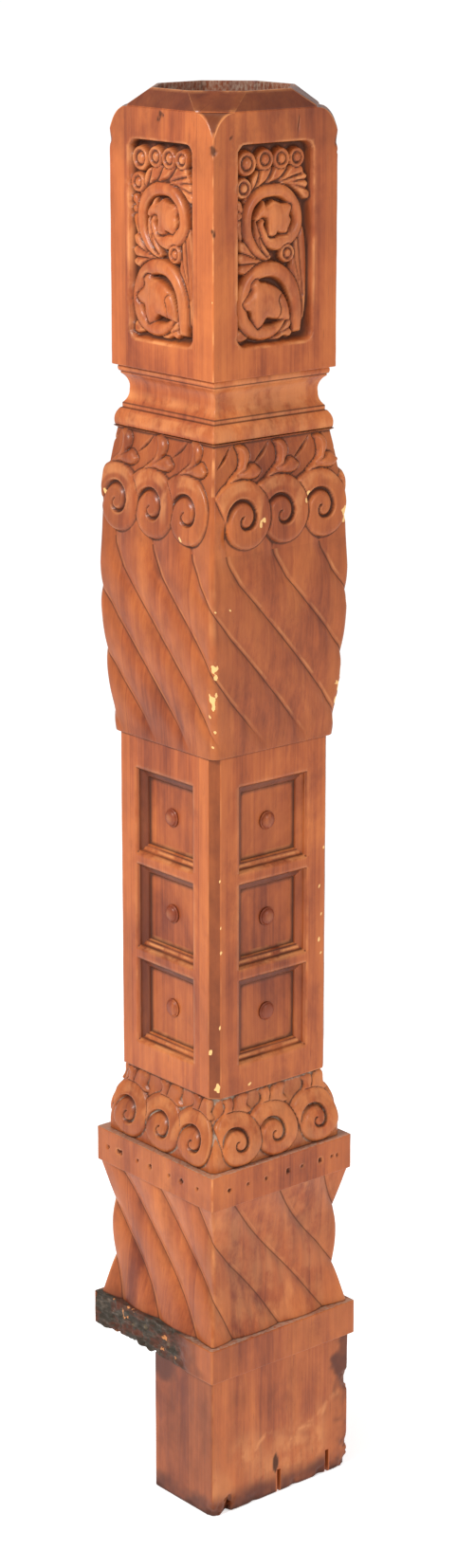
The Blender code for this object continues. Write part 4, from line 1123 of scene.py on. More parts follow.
class Nodes:
    """Short way to write a node tree."""

    def __init__(self, tree):
        self.tree = tree
        tree.nodes.clear()

    def add(self, kind, inputs=None, **settings):
        node = self.tree.nodes.new(kind)
        for key, value in settings.items():
            setattr(node, key, value)
        for key, value in (inputs or {}).items():
            if isinstance(value, bpy.types.NodeSocket):
                self.tree.links.new(value, node.inputs[key])
            else:
                node.inputs[key].default_value = value
        return node

    def math(self, operation, a, b=0.0, c=0.0, clamp=False):
        return self.add("ShaderNodeMath", {0: a, 1: b, 2: c}, operation=operation, use_clamp=clamp).outputs[0]

    def times(self, *values):
        total = values[0]
        for value in values[1:]:
            total = self.math("MULTIPLY", total, value)
        return total

    def plus(self, a, b, clamp=False):
        return self.math("ADD", a, b, clamp=clamp)

    def lay(self, share, under, over):
        """One colour laid over another."""
        under, over = (c if isinstance(c, bpy.types.NodeSocket) else (*c, 1) for c in (under, over))
        return self.add("ShaderNodeMix", {"Factor": share, 6: under, 7: over}, data_type="RGBA").outputs[2]

    def noise(self, place, scale, stretch=(1, 1, 1), detail=3.0, roughness=0.5, distortion=0.0):
        mapped = self.add("ShaderNodeMapping", {"Vector": place, "Scale": stretch}).outputs[0]
        return self.add("ShaderNodeTexNoise", {"Vector": mapped, "Scale": scale, "Detail": detail,
                                               "Roughness": roughness, "Distortion": distortion}).outputs[0]

    def between(self, value, low, high):
        """0 where the value is low, 1 where it is high."""
        return self.add("ShaderNodeMapRange", {"Value": value, "From Min": low, "From Max": high},
                        interpolation_type="SMOOTHSTEP").outputs[0]

    def mask(self, name):
        return self.add("ShaderNodeAttribute", attribute_name=name).outputs["Fac"]

    def broken(self, name, noise, amount, edge, gate):
        """A mask whose edge is broken up by a noise, and which is nothing where the mask is nearly 0."""
        spread = self.plus(self.mask(name), self.times(self.math("SUBTRACT", noise, 0.5), amount), clamp=True)
        return self.times(self.between(spread, *edge), self.between(self.mask(name), *gate))


def shade(colour, share):
    return tuple(share * c for c in colour)


def grain(nodes, place, colours, main):
    """Upright grain: broad tone, growth lines, fine fibres and short dark pores."""
    tone = nodes.noise(place, 9, (1, 1, 0.5), 5, 0.62, 0.6)
    lines = nodes.noise(place, 85, (1, 1, 0.03), 4, 0.62, 0.5)
    fibres = nodes.noise(place, 420, (1, 1, 0.03), 3, 0.6)
    pores = nodes.between(nodes.noise(place, 900, (1, 1, 0.05), 2, 0.5), 0.64, 0.74)
    clouds = nodes.between(nodes.noise(place, 21, (1, 1, 0.7), 7, 0.72), 0.5, 0.7)
    blend = nodes.plus(nodes.math("MULTIPLY_ADD", lines, 0.44, -0.3), tone)
    ramp = nodes.add("ShaderNodeValToRGB", {"Fac": nodes.plus(blend, nodes.times(fibres, 0.2))})
    stops = ramp.color_ramp.elements
    stops[0].position, stops[1].position = 0.33, 0.74
    stops[0].color, stops[1].color = (*colours.dark, 1), (*colours.light, 1)
    stops.new(0.52).color = (*main, 1)
    colour = nodes.lay(nodes.times(pores, 0.45), ramp.outputs[0], shade(main, 0.35))
    return nodes.lay(nodes.times(clouds, 0.42), colour, colours.dark), lines, fibres, pores


def board_joints(nodes, place, colour, colours):
    """The edges of the front and back boards show on the side faces as a paler strip behind a glue line."""
    split = nodes.add("ShaderNodeSeparateXYZ", {"Vector": place})
    x, y = (nodes.math("ABSOLUTE", split.outputs[i]) for i in (0, 1))
    side_face = nodes.between(x, 64 * MM, 68 * MM)
    strip = nodes.times(nodes.between(y, 56.6 * MM, 57.4 * MM), side_face)
    colour = nodes.lay(nodes.times(strip, 0.28), colour, colours.light)
    from_seam = nodes.math("ABSOLUTE", nodes.math("SUBTRACT", y, 57 * MM))
    seam = nodes.times(nodes.between(from_seam, 0.55 * MM, 0.2 * MM), side_face)
    return nodes.lay(nodes.times(seam, 0.5), colour, colours.dark)


def burnt_wood(nodes, place, colours):
    """Black, grey and brown, with small places of fresh wood."""
    grey = nodes.between(nodes.noise(place, 70, (1, 1, 2.6), 7, 0.76), 0.46, 0.78)
    brown = nodes.between(nodes.noise(place, 36, (1, 1, 1.6), 6, 0.7), 0.46, 0.62)
    fresh = nodes.between(nodes.noise(place, 85, (1, 1, 0.8), 3, 0.6), 0.66, 0.71)
    colour = nodes.lay(grey, colours.char, shade(colours.dust, 0.42))
    colour = nodes.lay(nodes.times(brown, 0.6), colour, shade(colours.dark, 0.7))
    return nodes.lay(fresh, colour, shade(colours.worn_and_highlight, 0.8))


def wood(name, slot):
    """Stained and varnished wood, with what the masks say of dirt, wear, dust, bare and blackened places; the
    stain and dirt layers also lay painted shade, and the wear layer painted highlights.
    """
    colours = bpy.context.scene.newel_colours
    main = colours.boss if slot == "boss_wood" else colours.wood
    material = bpy.data.materials.new(name)
    material.use_nodes = True
    nodes = Nodes(material.node_tree)
    place = nodes.add("ShaderNodeTexCoord").outputs["Object"]
    colour, lines, fibres, pores = grain(nodes, place, colours, main)
    if slot == "carved_wood":
        colour = board_joints(nodes, place, colour, colours)
    speckle = nodes.noise(place, 300, (1, 1, 0.6), 3, 0.6)
    patches = nodes.noise(place, 45, (1, 1, 0.7), 4, 0.6)

    stain_and_shade = nodes.broken("stain_and_shade", patches, 0.45, (0.05, 1.0), (0.0, 0.12))
    wear_and_highlight = nodes.times(nodes.mask("wear_and_highlight"), nodes.between(patches, 0.35, 0.6))
    dirt_and_shade = nodes.between(nodes.mask("dirt_and_shade"), 0.05, 1.0)
    dust = nodes.broken("dust", speckle, 0.9, (0.3, 0.9), (0.02, 0.15))
    bare = nodes.broken("bare", patches, 1.2, (0.45, 0.6), (0.05, 0.2))
    char = nodes.broken("char", patches, 1.3, (0.2, 0.85), (0.02, 0.2))
    # Stain and dirt lay painted shade as well as real stain and dirt; wear lays painted highlights as well as
    # rubbed wood.
    layers = ((stain_and_shade, 0.9, shade(colours.dark, 0.42)), (wear_and_highlight, 0.7, colours.worn_and_highlight), (dirt_and_shade, 0.88, colours.dirt_and_shade),
              (dust, 0.75, colours.dust), (bare, 1.0, colours.bare),
              (char, 0.94, burnt_wood(nodes, place, colours)))
    for mask, strength, over in layers:
        colour = nodes.lay(nodes.times(mask, strength), colour, over)

    dull = nodes.math("MAXIMUM", nodes.math("MAXIMUM", dirt_and_shade, dust), nodes.math("MAXIMUM", bare, char))
    rough = nodes.plus(nodes.math("MULTIPLY_ADD", patches, 0.24, 0.27), nodes.times(lines, 0.08))
    rough = nodes.plus(rough, nodes.times(dull, 0.4), clamp=True)
    relief = nodes.plus(nodes.times(fibres, 0.5), nodes.times(lines, 0.6))
    relief = nodes.math("SUBTRACT", relief, nodes.times(pores, 0.5))
    relief = nodes.plus(relief, nodes.times(speckle, dull, 1.5))
    bump = nodes.add("ShaderNodeBump", {"Height": relief, "Strength": 0.35, "Distance": 0.35 * MM}).outputs[0]
    shader = nodes.add("ShaderNodeBsdfPrincipled", {
        "Base Color": colour, "Roughness": rough, "Normal": bump, "Metallic": 0.0, "IOR": 1.5,
        "Specular IOR Level": 0.22, "Coat Weight": 0.13, "Coat Roughness": 0.16})
    nodes.add("ShaderNodeOutputMaterial", {"Surface": shader.outputs[0]})
    return material


def wood_of(slot):
    """The wood of a slot, made the first time that it is asked for."""
    name = slot + "_finish"
    return bpy.data.materials.get(name) or wood(name, slot)


# Operators


class NEWEL_OT_head(bpy.types.Operator):
    """Carve the square head, its four relief panels, the rounded shoulders and the octagonal rim and mouth"""

    bl_idname = "newel.head"
    bl_label = "Head"

    def execute(self, context):
        def step(z):
            return 1.4 if RELIEF_BOTTOM - 2 < z < RELIEF_TOP + 2 else 2.6

        sheet = Sheet(section_rows(head_section(), step, 1),
                      spaced_columns(HEAD_HALF, ARRIS, [1.3, 3.6, 1], [51.5, 78]))
        on_face = ((sheet.z < HEAD_TOP) & (sheet.half > HEAD_HALF - 0.1))[: sheet.outer]
        sheet.carve(lambda turn, u, z: head_ground(turn, u, z) * on_face, head_carving)
        sheet.build(10)
        # The carved ground is darkened by its depth, as painted shade.
        sheet.weather(10, sunk=0.6, sunk_at=9)
        self.age(sheet)
        sheet.chips("dirt_and_shade", *((x * HEAD_HALF, y * HEAD_HALF, SHOULDER_START, 5, 1.5)
                              for x, y in product((-1, 1), repeat=2)),
                    (-82, 0, 1501, 3.4, 0.5), (-82, 3, 1496, 2, 0.5), (-82, -5, 1499, 2, 0.5),
                    (-80, -82, 1388, 3, 0.5), (-82, -80, 1391, 2, 0.5), (-60, -82, 1482, 2, 0.5),
                    (-82, -50, 1452, 1.6, 0.5))
        sheet.chips("bare", (-78, -45, 1304, 3, 0.5), (-82, -80, 1322, 2, 0.5))
        return add_length("head", sheet)

    def age(self, sheet):
        """Rubbed leaf tops, lightened also as painted highlights, a darker top, a dusty mouth, and dark facets
        with pale edges round the rim.
        """
        z = sheet.z
        carved = (np.abs(sheet.u) < RELIEF_HALF) & (z > RELIEF_BOTTOM) & (z < RELIEF_TOP) & sheet.outside
        # Leaf and stem tops paler: rubbing and a painted highlight.
        sheet.mark("wear_and_highlight", 0.28 * past(sheet.height, -3, 2.4) * carved)
        upper = 0.34 * past(z, 1400, 90) + 0.16 * sheet.noise(60, 12)
        sheet.mark("stain_and_shade", np.clip(upper, 0, 1) * sheet.outside)
        rim_row = np.argmax(z[:, 0] >= RIM_TOP - 0.001)
        inner = (np.arange(len(z)) >= rim_row)[:, None]
        sheet.paint("dust", inner, np.where(z < RIM_TOP - MOUTH_DEPTH + 8, 0.9, 0.5))
        slope = sheet.outside & (z > HEAD_TOP + 1) & ~inner
        sheet.paint("stain_and_shade", slope, 0.78)
        sheet.paint("stain_and_shade", inner, 0.7)
        shoulder = (z > SHOULDER_START) & (z < HEAD_TOP + 0.5) & (sheet.leg > 2) & ~inner
        sheet.mark("stain_and_shade", 0.85 * past(z, 1477, 14) * (sheet.q > 0.04) * shoulder)
        sheet.mark("wear_and_highlight", 0.9 * near(np.abs(sheet.u), sheet.half - sheet.leg, 1.6) * shoulder)
        sheet.mark("wear_and_highlight", 0.8 * near(z, RIM_TOP, 1.5) * slope)


class NEWEL_OT_neck(bpy.types.Operator):
    """Turn the mouldings between the head and the swollen length round the four faces"""

    bl_idname = "newel.neck"
    bl_label = "Neck mouldings"

    def execute(self, context):
        sheet = Sheet(section_rows(neck_section(), 1.1, 0.5), spaced_columns(NECK_BEAD_HALF, NECK_ARRIS, [4]))
        sheet.build(20)
        sheet.weather(20, (BULB_TOP, HEAD_BOTTOM), fine=2, broad=6)
        z = sheet.z
        # Painted highlights on the torus and the bead, in the lower part of the hollow and over the front face.
        for low, high in ((BULB_TOP + 2, BULB_TOP + 17), (HEAD_BOTTOM - 6, HEAD_BOTTOM - 1)):
            sheet.mark("wear_and_highlight", 0.5 * past(z, low, 3) * past(z, high, -3) * sheet.outside)
        hollow = past(z, BULB_TOP + 40, -10) * past(z, BULB_TOP + 24, 6) * (0.4 + 0.4 * sheet.noise(22, 24))
        sheet.mark("wear_and_highlight", np.clip(hollow, 0, 1) * sheet.outside)
        sheet.mark("wear_and_highlight", 0.5 * sheet.within("front", NECK_BEAD_HALF) * sheet.outside)
        # Dark lines of dirt and painted shade in the creases between the mouldings.
        for height in (BULB_TOP + 18.6, BULB_TOP + 23, HEAD_BOTTOM - 7):
            sheet.mark("dirt_and_shade", 0.85 * near(z, height, 1.5) * sheet.outside)
        return add_length("neck", sheet)


class NEWEL_OT_ribs(bpy.types.Operator):
    """Carve the twisting ribs of the swollen length, up to the scrolls that they roll into"""

    bl_idname = "newel.ribs"
    bl_label = "Twisted ribs"

    def execute(self, context):
        sheet = Sheet(section_rows(bulb_section(SHAFT_TOP, RIBS_TOP), 2.4), 528, rib_shift)
        sheet.carve(bulb_ground)
        sheet.build(30)
        sheet.chips("bare", (-92, -92, 950, 5, 1.6), (-88, -93, 942, 4, 1), (-92, -90, 920, 5, 1.6),
                    (-91, -92, 908, 3.6, 1), (-85, -92, 925, 2.4, 0.6), (-92, -92, 880, 2.6, 0.8),
                    (-92, -92, 868, 2, 0.6), (-70, -92, 1012, 1.8, 0.5), (-88, -94, 1010, 2, 0.6),
                    (-92, -84, 900, 2, 0.6), (92, -92, 922, 5, 0.5), (91, -92, 905, 6, 0.6),
                    (90, -92, 888, 5, 0.5), (92, -92, 872, 4, 0.4), (92, -92, 1000, 3, 0.4))
        sheet.weather(30, fine=2, broad=8)
        sheet.valleys(2 * BULB_HALF / RIBS_PER_FACE, past(sheet.z, SHAFT_TOP + 4, 40) * sheet.outside)
        sheet.mark("stain_and_shade", 0.36)
        return add_length("ribs", sheet)


class NEWEL_OT_upper_scrolls(bpy.types.Operator):
    """Carve the twelve scrolls round the top of the swollen length, each with its leaf"""

    bl_idname = "newel.upper_scrolls"
    bl_label = "Upper scrolls"

    def execute(self, context):
        sheet = Sheet(section_rows(bulb_section(RIBS_TOP, BULB_TOP), 1.2, 1),
                      spaced_columns(BULB_HALF, SHAFT_CHAMFER, [1.2], corner_steps=7))
        sheet.carve(bulb_ground, upper_scrolls)
        sheet.build(30)
        sheet.chips("bare", (-29, -94, 1095, 3, 0.8), (-24, -94, 1099, 3.6, 0.8), (38, -93, 1117, 3, 1),
                    (36, -94, 1112, 2.6, 1), (-94, -44, 1078, 3, 0.8), (88, -91, 1093, 8, 1),
                    (-91, 84, 1110, 4, 1))
        sheet.weather(35, (BULB_TOP,), dusty=0.2, edges=0.55)
        sheet.mark("stain_and_shade", 0.3 + 0.08 * sheet.within("left", BULB_HALF))
        # The sunk ground over the scrolls is darkened by its depth, as painted shade.
        sheet.mark("stain_and_shade", 0.45 * rise(-sheet.height / 5) * past(sheet.z, 1092, 16))
        sheet.paint_scroll_shading(UPPER_EYES, 27)
        return add_length("upper_scrolls", sheet)


class NEWEL_OT_shaft(bpy.types.Operator):
    """Sink the three moulded panels of each face into the chamfered shaft"""

    bl_idname = "newel.shaft"
    bl_label = "Panelled shaft"

    def execute(self, context):
        sheet = Sheet(shaft_section(), shaft_columns())
        sheet.carve(shaft_ground)
        sheet.build(40)
        sheet.weather(40, (SHAFT_TOP,), broad=4, edges=0.6)
        sheet.mark("stain_and_shade", 0.6 * (sheet.q > 0) * sheet.outside)
        self.paint_panel_shading(sheet)
        sheet.chips("bare", (66, -82, 690, 2, 0.3), (68, -82, 655, 2.4, 0.3), (64, -82, 628, 3, 0.3),
                    (69, -82, 612, 2, 0.3), (-74, -78, 492, 4, 0.3), (-73, -81, 560, 1.8, 0.3),
                    (-72, -81, 640, 2.2, 0.3), (-72, -81, 668, 1.6, 0.3), (-73, -81, 722, 1.8, 0.3),
                    (-80, -73, 530, 2, 0.3), (70, -82, 730, 1.6, 0.3), (-30, -82, 486, 2, 0.3))
        return add_length("shaft", sheet)

    def paint_panel_shading(self, sheet):
        """Painted highlights on the lower ledges of each panel's moulding, with lines of dirt and painted shade
        between; painted shadow on the left and top of the moulding, its other sides a little darker, and a
        little darker floor.
        """
        across = np.abs(sheet.u)
        noise = sheet.noise(24, 45)
        rim = PANEL_SIZE / 2
        floor_edge = rim - PANEL_MOULDING
        for i in range(PANELS):
            below = panel_middle(i) - sheet.z
            for mask, share, width, strength in (("wear_and_highlight", 0.1, 2.2, 0.9), ("wear_and_highlight", 0.52, 2.4, 0.9),
                                                 ("wear_and_highlight", 0.96, 1.8, 0.9), ("dirt_and_shade", 0.24, 1.4, 0.8),
                                                 ("dirt_and_shade", 0.75, 1.6, 0.8)):
                ledge = rim - PANEL_MOULDING * share
                line = near(below, ledge, width) * (across < ledge) * sheet.outside
                sheet.mark(mask, np.clip(line * (strength + 0.3 * noise), 0, 1))
            out = np.maximum(across, np.abs(below))
            shaded = np.where(np.abs(below) > across, below < 0, sheet.u < 0)
            moulding = past(out, rim, -2) * past(out, floor_edge - 1, 2) * np.where(shaded, 0.75, 0.2)
            sheet.mark("stain_and_shade", (moulding + 0.22 * past(out, floor_edge, -1)) * sheet.outside)


class NEWEL_OT_scroll_band(bpy.types.Operator):
    """Carve the lower band of twelve scrolls with two small lobes over each"""

    bl_idname = "newel.scroll_band"
    bl_label = "Lower scrolls"

    def execute(self, context):
        sheet = Sheet(section_rows(scroll_band_section(), 1.15, 0.5),
                      spaced_columns(SCROLL_HALF, SHAFT_CHAMFER, [1.2], corner_steps=6))
        sheet.carve(lower_scroll_ground, lower_scrolls)
        sheet.build(50)
        # The sunk ground is darkened by its depth, as painted shade.
        sheet.weather(50, (NAIL_BAND_TOP,), dusty=0.75, sunk=0.4, sunk_at=5, edges=0.55)
        sheet.paint_scroll_shading(LOWER_EYES, 21)
        sheet.mark("wear_and_highlight", 0.4 * sheet.within("front", SCROLL_HALF) * sheet.outside)
        sheet.mark("stain_and_shade", 0.02 + 0.34 * sheet.within("left", SCROLL_HALF))
        return add_length("scroll_band", sheet)


class NEWEL_OT_nailing_band(bpy.types.Operator):
    """Make the plain band with its row of nail holes"""

    bl_idname = "newel.nailing_band"
    bl_label = "Nailed band"

    def execute(self, context):
        sheet = Sheet(section_rows(nailing_band_section(), 1.4, 1),
                      spaced_columns(NAIL_BAND_HALF, NAIL_ARRIS, [1.6]))
        sheet.carve(flat_ground, nail_holes)
        sheet.build(60)
        sheet.weather(60)
        sheet.paint("dust", (sheet.z > NAIL_BAND_TOP - 0.8) & (sheet.half < NAIL_BAND_HALF - 0.4), 0.6)
        sheet.mark("stain_and_shade", 0.3 * sheet.within("left", NAIL_BAND_HALF) * sheet.outside)
        # The nail holes are darkened by their depth.
        sheet.mark("dirt_and_shade", rise(-sheet.height / 2.5))
        return add_length("nailing_band", sheet)


class NEWEL_OT_waist(bpy.types.Operator):
    """Carve the waisted length with its slanting ribs"""

    bl_idname = "newel.waist"
    bl_label = "Lower flutes"

    def execute(self, context):
        sheet = Sheet(section_rows(waist_section(), 2, 0.5), 504, rib_shift)
        sheet.carve(waist_ground)
        sheet.build(70)
        sheet.weather(70, (LOWER_BAND_TOP, WAIST_TOP), fine=2, broad=8)
        sheet.valleys(2 * WAIST_HALF / RIBS_PER_FACE, 0.9 * sheet.outside)
        rubbed = 0.26 + 0.2 * sheet.noise((9, 9, 90), 74)
        sheet.mark("wear_and_highlight", rubbed * sheet.within("front", 100) * sheet.outside)
        smoke = past(sheet.z, 240, -60) * past(sheet.across("left"), 40, -90)
        sheet.mark("stain_and_shade", np.maximum(0.75 * smoke, 0.2) * sheet.within("left", 100))
        return add_length("waist", sheet)


class NEWEL_OT_lower_band(bpy.types.Operator):
    """Make the band over the foot, torn and blackened on the left face"""

    bl_idname = "newel.lower_band"
    bl_label = "Lower band"

    def execute(self, context):
        sheet = Sheet(section_rows(lower_band_section(), 1.5),
                      spaced_columns(LOWER_BAND_HALF, BAND_ARRIS, [1.8]))
        sheet.build(80)
        sheet.weather(80, corners=0.5)
        sheet.paint("dust", (sheet.z > LOWER_BAND_TOP - 1) & (sheet.half < LOWER_BAND_HALF - 0.6), 0.6)
        self.tear(sheet)
        sheet.chips("bare", *((-LOWER_BAND_HALF, y, z, radius, 2) for y, z, radius in (
            (-24, 183, 5), (14, 190, 3), (35, 186, 4), (20, 178, 3))))
        return add_length("lower_band", sheet)

    def tear(self, sheet):
        """Tears long splinters out of the left face and leaves its lower edge ragged."""
        u = sheet.across("left")
        on_left = u > -LOWER_BAND_HALF - 1
        edge = 70 + 16 * sheet.noise(14, 83)
        torn = past(u, edge, -48) * on_left * sheet.outside
        splinters = 0.5 + 0.5 * sheet.noise((30, 22, 3.6), 84) + 0.7 * sheet.noise((5, 5, 3), 85)
        pits = past(sheet.noise(10, 86), 0.15, 0.5)
        depth = chosen("splinters") * torn * np.clip(0.1 + 0.55 * splinters + 0.5 * pits, 0, 1.2)
        sheet.points[..., 0] += depth
        ragged = past(sheet.z, FOOT_TOP + 14, -14) * torn * (sheet.z > FOOT_TOP - 0.1)
        sheet.points[..., 2] += ragged * 4 * np.clip(0.25 + sheet.noise((40, 6, 40), 87), 0, 1)
        sheet.mark("char", torn)
        sheet.mark("stain_and_shade", 0.3)
        sheet.mark("stain_and_shade", 0.75 * past(u, edge + 40, -60) * on_left)


class NEWEL_OT_foot(bpy.types.Operator):
    """Make the plain foot, cut its notch and saw cuts, and wear its lower edge"""

    bl_idname = "newel.foot"
    bl_label = "Foot"

    def execute(self, context):
        sheet = Sheet(section_rows(foot_section(), 2.4, 1), spaced_columns(FOOT_HALF, FOOT_ARRIS, [2.6]))
        sheet.build(90)
        sheet.weather(90, (FOOT_TOP,), corners=0.25)
        self.age(sheet)
        sheet.chips("stain_and_shade", *((x, -FOOT_HALF, z, radius, depth) for x, z, radius, depth in (
            (98, 108, 9, 3.5), (98, 30, 6, 2), (96, 4, 10, 4), (60, 1, 8, 3), (20, 1, 7, 2),
            (-40, 1, 7, 2), (-97, 1, 9, 3), (-76, 16, 5, 4), (-77, 8, 7, 6), (-77, 1, 8, 7))))
        piece = sheet_object("foot", sheet)
        far = FOOT_HALF + CUTTER_PAST
        self.cut(piece, (-far, 0, -CUTTER_PAST), (0, far, FOOT_TOP + CUTTER_PAST), 0.5)
        reach = -FOOT_HALF + (FOOT_HALF - BORE_HALF) * SAW_CUT_IN
        for middle in SAW_CUTS:
            left, right = middle - SAW_CUT_WIDTH / 2, middle + SAW_CUT_WIDTH / 2
            self.cut(piece, (left, -far, -CUTTER_PAST), (right, reach, SAW_CUT_HEIGHT), 1.0)
        settle(piece, "post", "carved_wood")
        return {"FINISHED"}

    def age(self, sheet):
        """Stain, grime, a burn and rubbed places, as they lie on the front and left faces."""
        z, front, left = sheet.z, sheet.across("front"), sheet.across("left")
        on_front, on_left = np.abs(front) < 99, np.abs(left) < 99
        blotch = sheet.noise(15, 92) + 0.6 * sheet.noise(6, 93)
        streak = sheet.noise((14, 14, 110), 94)
        right_edge = past(front, 66 - 9 * blotch, 22) * (0.55 + 0.3 * past(z, 76, 30) + 0.3 * blotch)
        corner = 0.75 * past(left, 86, 10) * (0.75 + 0.3 * streak)
        upper_left = past(z, 112 - 10 * blotch, 40) * past(left, 66, -50)
        notch_edge = 0.85 * past(left, 14, -14) * (0.6 + 0.4 * streak)
        low = past(z, 46, -46) * (0.95 + 0.35 * blotch)
        burn = past(np.hypot((front + 8) / 3.4, (z - 37) / 12), 1.25, -0.5) * on_front
        for stain_and_shade in (0.26 + 0.2 * on_left + 0.1 * streak, right_edge * on_front, corner * on_left,
                      upper_left * on_left, notch_edge * on_left, low, burn):
            sheet.mark("stain_and_shade", np.clip(stain_and_shade, 0, 1))
        sheet.mark("dirt_and_shade", 0.85 * past(z, 9 + 4 * blotch, -8) * sheet.outside)
        sheet.mark("dirt_and_shade", burn)
        golden = past(z, 110, -60) * past(z, 10, 20) * past(front, 76, -24) * on_front
        sheet.mark("wear_and_highlight", np.clip(golden * (0.35 + 0.4 * sheet.noise((20, 20, 34), 95)), 0, 1))
        for x, height, radius, first, last in ((-15, 55, 22, 60, 185), (34, 42, 26, 40, 190),
                                               (82, 72, 21, 70, 190), (40, 96, 24, 250, 340)):
            right, up = front - x, z - height
            angle = np.degrees(np.arctan2(up, right)) % 360
            since, until = (angle - first) % 360, (last - angle) % 360
            along = np.clip(np.minimum(since, until) / 25, 0, 1) * (since < last - first)
            sheet.mark("wear_and_highlight", 0.8 * near(np.hypot(right, up), radius, 5.5) * along * on_front)

    def cut(self, piece, low, high, dark):
        """Takes a box out of the foot and darkens the faces that the cut leaves."""
        deselect_all()
        bpy.ops.mesh.primitive_cube_add(size=1, location=[(a + b) / 2 * MM for a, b in zip(low, high)])
        cutter = bpy.context.object
        cutter.scale = [(b - a) * MM for a, b in zip(low, high)]
        bpy.ops.object.transform_apply(location=True, rotation=True, scale=True)
        for mask in ("stain_and_shade", "dirt_and_shade"):
            write_layer(cutter.data, mask, np.full(len(cutter.data.vertices), float(dark)))
        deselect_all()
        piece.select_set(True)
        bpy.context.view_layer.objects.active = piece
        difference = piece.modifiers.new("cut", "BOOLEAN")
        difference.operation = "DIFFERENCE"
        difference.object = cutter
        bpy.ops.object.modifier_apply(modifier="cut")
        bpy.data.objects.remove(cutter)
        bpy.ops.object.shade_smooth_by_angle(angle=math.radians(50))


class NEWEL_OT_bosses(bpy.types.Operator):
    """Turn twelve domed bosses and set one in the middle of each sunk panel"""

    bl_idname = "newel.bosses"
    bl_label = "Bosses"

    WORN_DOWN = ("boss_left_3", "boss_front_3")

    def execute(self, context):
        for face, angle in (("front", 0), ("right", 90), ("back", 180), ("left", 270)):
            for i in range(PANELS):
                name = f"boss_{face}_{i + 1}"
                self.boss(name, math.radians(angle), 0.72 if name in self.WORN_DOWN else 1.0)
        return {"FINISHED"}

    def boss(self, name, angle, share):
        """One boss: a disc whose face is inset and raised ring by ring to a dome."""
        low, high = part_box(name)
        out = Vector((math.sin(angle), -math.cos(angle), 0))
        depth = abs((high - low).dot(out))
        radius = (high.z - low.z) / 2
        disc = 0.5 * MM
        deselect_all()
        bpy.ops.mesh.primitive_cylinder_add(vertices=BOSS_SIDES, radius=radius, depth=disc,
                                            end_fill_type="NGON", location=(0, 0, disc / 2))
        piece = bpy.context.object
        bpy.ops.object.mode_set(mode="EDIT")
        bpy.ops.mesh.select_all(action="DESELECT")
        bpy.ops.object.mode_set(mode="OBJECT")
        for face in piece.data.polygons:
            face.select = face.normal.z > 0.9
        bpy.ops.object.mode_set(mode="EDIT")
        bpy.ops.mesh.select_mode(type="FACE")
        profile = [(1.0, 0.22), (0.985, 0.3), (0.93, 0.36), (0.86, 0.4)]
        profile += [(0.86 * math.cos(turn), 0.4 + 0.6 * share * math.sin(turn))
                    for turn in evenly(0, math.pi / 2, 9)[1:-1]]
        width, height = 1.0, disc
        for next_width, up in profile:
            bpy.ops.mesh.extrude_region_move(TRANSFORM_OT_translate={"value": (0, 0, up * depth - height)})
            width, height, scale = next_width, up * depth, next_width / width
            bpy.ops.transform.resize(value=(scale, scale, 1), center_override=(0, 0, height))
        bpy.ops.object.mode_set(mode="OBJECT")
        piece.name = piece.data.name = name + "_turned"
        foot = (low + high) / 2 - out * (depth / 2 + BOSS_GAP * MM)
        piece.rotation_euler = (math.pi / 2, 0, angle)
        piece.location = foot
        bpy.ops.object.transform_apply(location=True, rotation=True, scale=True)
        bpy.ops.object.shade_smooth_by_angle(angle=math.radians(60))
        self.age(piece.data, foot, out)
        settle(piece, name, "boss_wood")

    def age(self, mesh, foot, out):
        """Dirt and painted shade round the boss's foot, and wear on its dome."""
        up = (read_places(mesh) - np.array(foot)) @ np.array(out) / MM
        values = {"dirt_and_shade": 0.9 * rise(1 - up / 1.8), "wear_and_highlight": 0.5 * past(up, 5, 2)}
        for mask in MASKS:
            write_layer(mesh, mask, values.get(mask, np.zeros(len(up))))


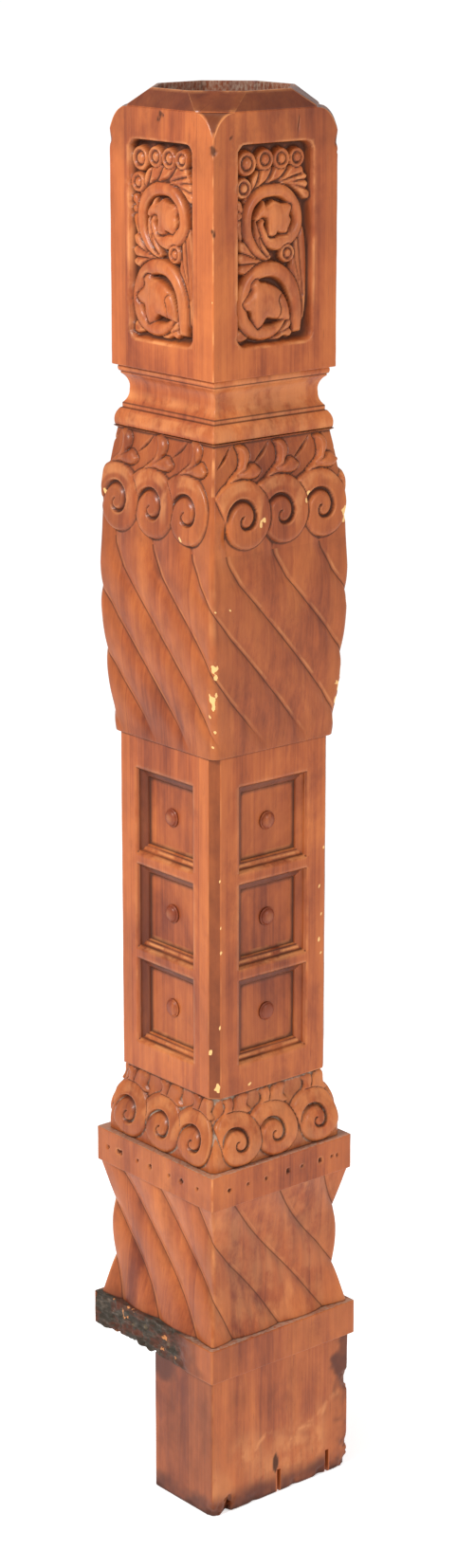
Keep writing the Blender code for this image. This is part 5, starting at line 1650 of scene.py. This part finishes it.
class NEWEL_OT_stage(bpy.types.Operator):
    """Lay the pale floor, hang the soft lights and place the camera where the photograph was taken"""

    bl_idname = "newel.stage"
    bl_label = "Stage"

    CAMERA_PLACE = (-2.1616, -2.5815, 1.772)
    CAMERA_TILT = 90 - 16.18
    CAMERA_TURN = -40.02
    FOCAL = 3474 / 1654
    SENSOR_HEIGHT = 24

    def execute(self, context):
        stage = context.scene.newel_stage
        self.floor(stage)
        self.world(context.scene, stage)
        self.light("key", (-2.2, -0.2, 2.6), (0, 0, 1.1), 0.65, stage.key)
        self.light("fill", (0.6, -3.0, 1.9), (0, 0, 0.8), 1.0, stage.fill)
        self.camera(context.scene)
        return {"FINISHED"}

    def floor(self, stage):
        deselect_all()
        bpy.ops.mesh.primitive_plane_add(size=400)
        floor = bpy.context.object
        floor.name = "floor"
        material = bpy.data.materials.new("floor")
        material.use_nodes = True
        shader = material.node_tree.nodes["Principled BSDF"]
        for name, value in (("Base Color", (*stage.floor, 1)), ("Roughness", 0.9), ("Specular IOR Level", 0.0),
                            ("Emission Color", (1, 1, 1, 1)), ("Emission Strength", stage.glow)):
            shader.inputs[name].default_value = value
        floor.data.materials.append(material)

    def world(self, scene, stage):
        """The sky is white to the camera and softer as a light."""
        world = bpy.data.worlds.new("studio")
        world.use_nodes = True
        nodes = Nodes(world.node_tree)
        seen = nodes.add("ShaderNodeLightPath").outputs["Is Camera Ray"]
        light = nodes.add("ShaderNodeBackground", {"Color": (1, 1, 1, 1), "Strength": stage.sky})
        shown = nodes.add("ShaderNodeBackground", {"Color": (1, 1, 1, 1), "Strength": 1.0})
        mixed = nodes.add("ShaderNodeMixShader", {0: seen, 1: light.outputs[0], 2: shown.outputs[0]})
        nodes.add("ShaderNodeOutputWorld", {"Surface": mixed.outputs[0]})
        scene.world = world
        scene.view_settings.view_transform = "Standard"

    def light(self, name, place, aim, width, power):
        deselect_all()
        bpy.ops.object.light_add(type="AREA", location=place)
        light = bpy.context.object
        light.name = light.data.name = name
        light.data.shape = "SQUARE"
        light.data.size = width
        light.data.energy = power
        direction = Vector(aim) - Vector(place)
        light.rotation_euler = direction.to_track_quat("-Z", "Y").to_euler()

    def camera(self, scene):
        deselect_all()
        turns = (math.radians(self.CAMERA_TILT), 0, math.radians(self.CAMERA_TURN))
        bpy.ops.object.camera_add(location=self.CAMERA_PLACE, rotation=turns)
        camera = bpy.context.object
        camera.data.sensor_fit = "VERTICAL"
        camera.data.sensor_height = self.SENSOR_HEIGHT
        camera.data.lens = self.FOCAL * self.SENSOR_HEIGHT
        scene.camera = camera


class NEWEL_PT_panel(bpy.types.Panel):
    """Sizes, colours and the steps that make the post"""

    bl_idname = "NEWEL_PT_panel"
    bl_label = "Carved newel post"
    bl_space_type = "VIEW_3D"
    bl_region_type = "UI"
    bl_category = "Newel"

    def draw(self, context):
        layout = self.layout
        for name in GROUPS:
            group = getattr(context.scene, name)
            box = layout.box()
            box.label(text=name.removeprefix("newel_").capitalize())
            for item in group.bl_rna.properties.keys():
                if item not in ("rna_type", "name"):
                    box.prop(group, item)
        for step in STEPS:
            layout.operator(step.bl_idname, text=step.bl_label)


STEPS = (NEWEL_OT_foot, NEWEL_OT_lower_band, NEWEL_OT_waist, NEWEL_OT_nailing_band, NEWEL_OT_scroll_band,
         NEWEL_OT_shaft, NEWEL_OT_bosses, NEWEL_OT_ribs, NEWEL_OT_upper_scrolls, NEWEL_OT_neck, NEWEL_OT_head,
         NEWEL_OT_stage)
GROUPS = {"newel_sizes": NewelSizes, "newel_colours": NewelColours, "newel_stage": NewelStage}


def register():
    for name, group in GROUPS.items():
        bpy.utils.register_class(group)
        setattr(bpy.types.Scene, name, bpy.props.PointerProperty(type=group))
    for item in (*STEPS, NEWEL_PT_panel):
        bpy.utils.register_class(item)


def unregister():
    for item in (NEWEL_PT_panel, *STEPS[::-1]):
        bpy.utils.unregister_class(item)
    for name, group in GROUPS.items():
        delattr(bpy.types.Scene, name)
        bpy.utils.unregister_class(group)


def main():
    register()
    for step in STEPS:
        section, name = step.bl_idname.split(".")
        getattr(getattr(bpy.ops, section), name)()
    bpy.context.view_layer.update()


if __name__ == "__main__":
    main()
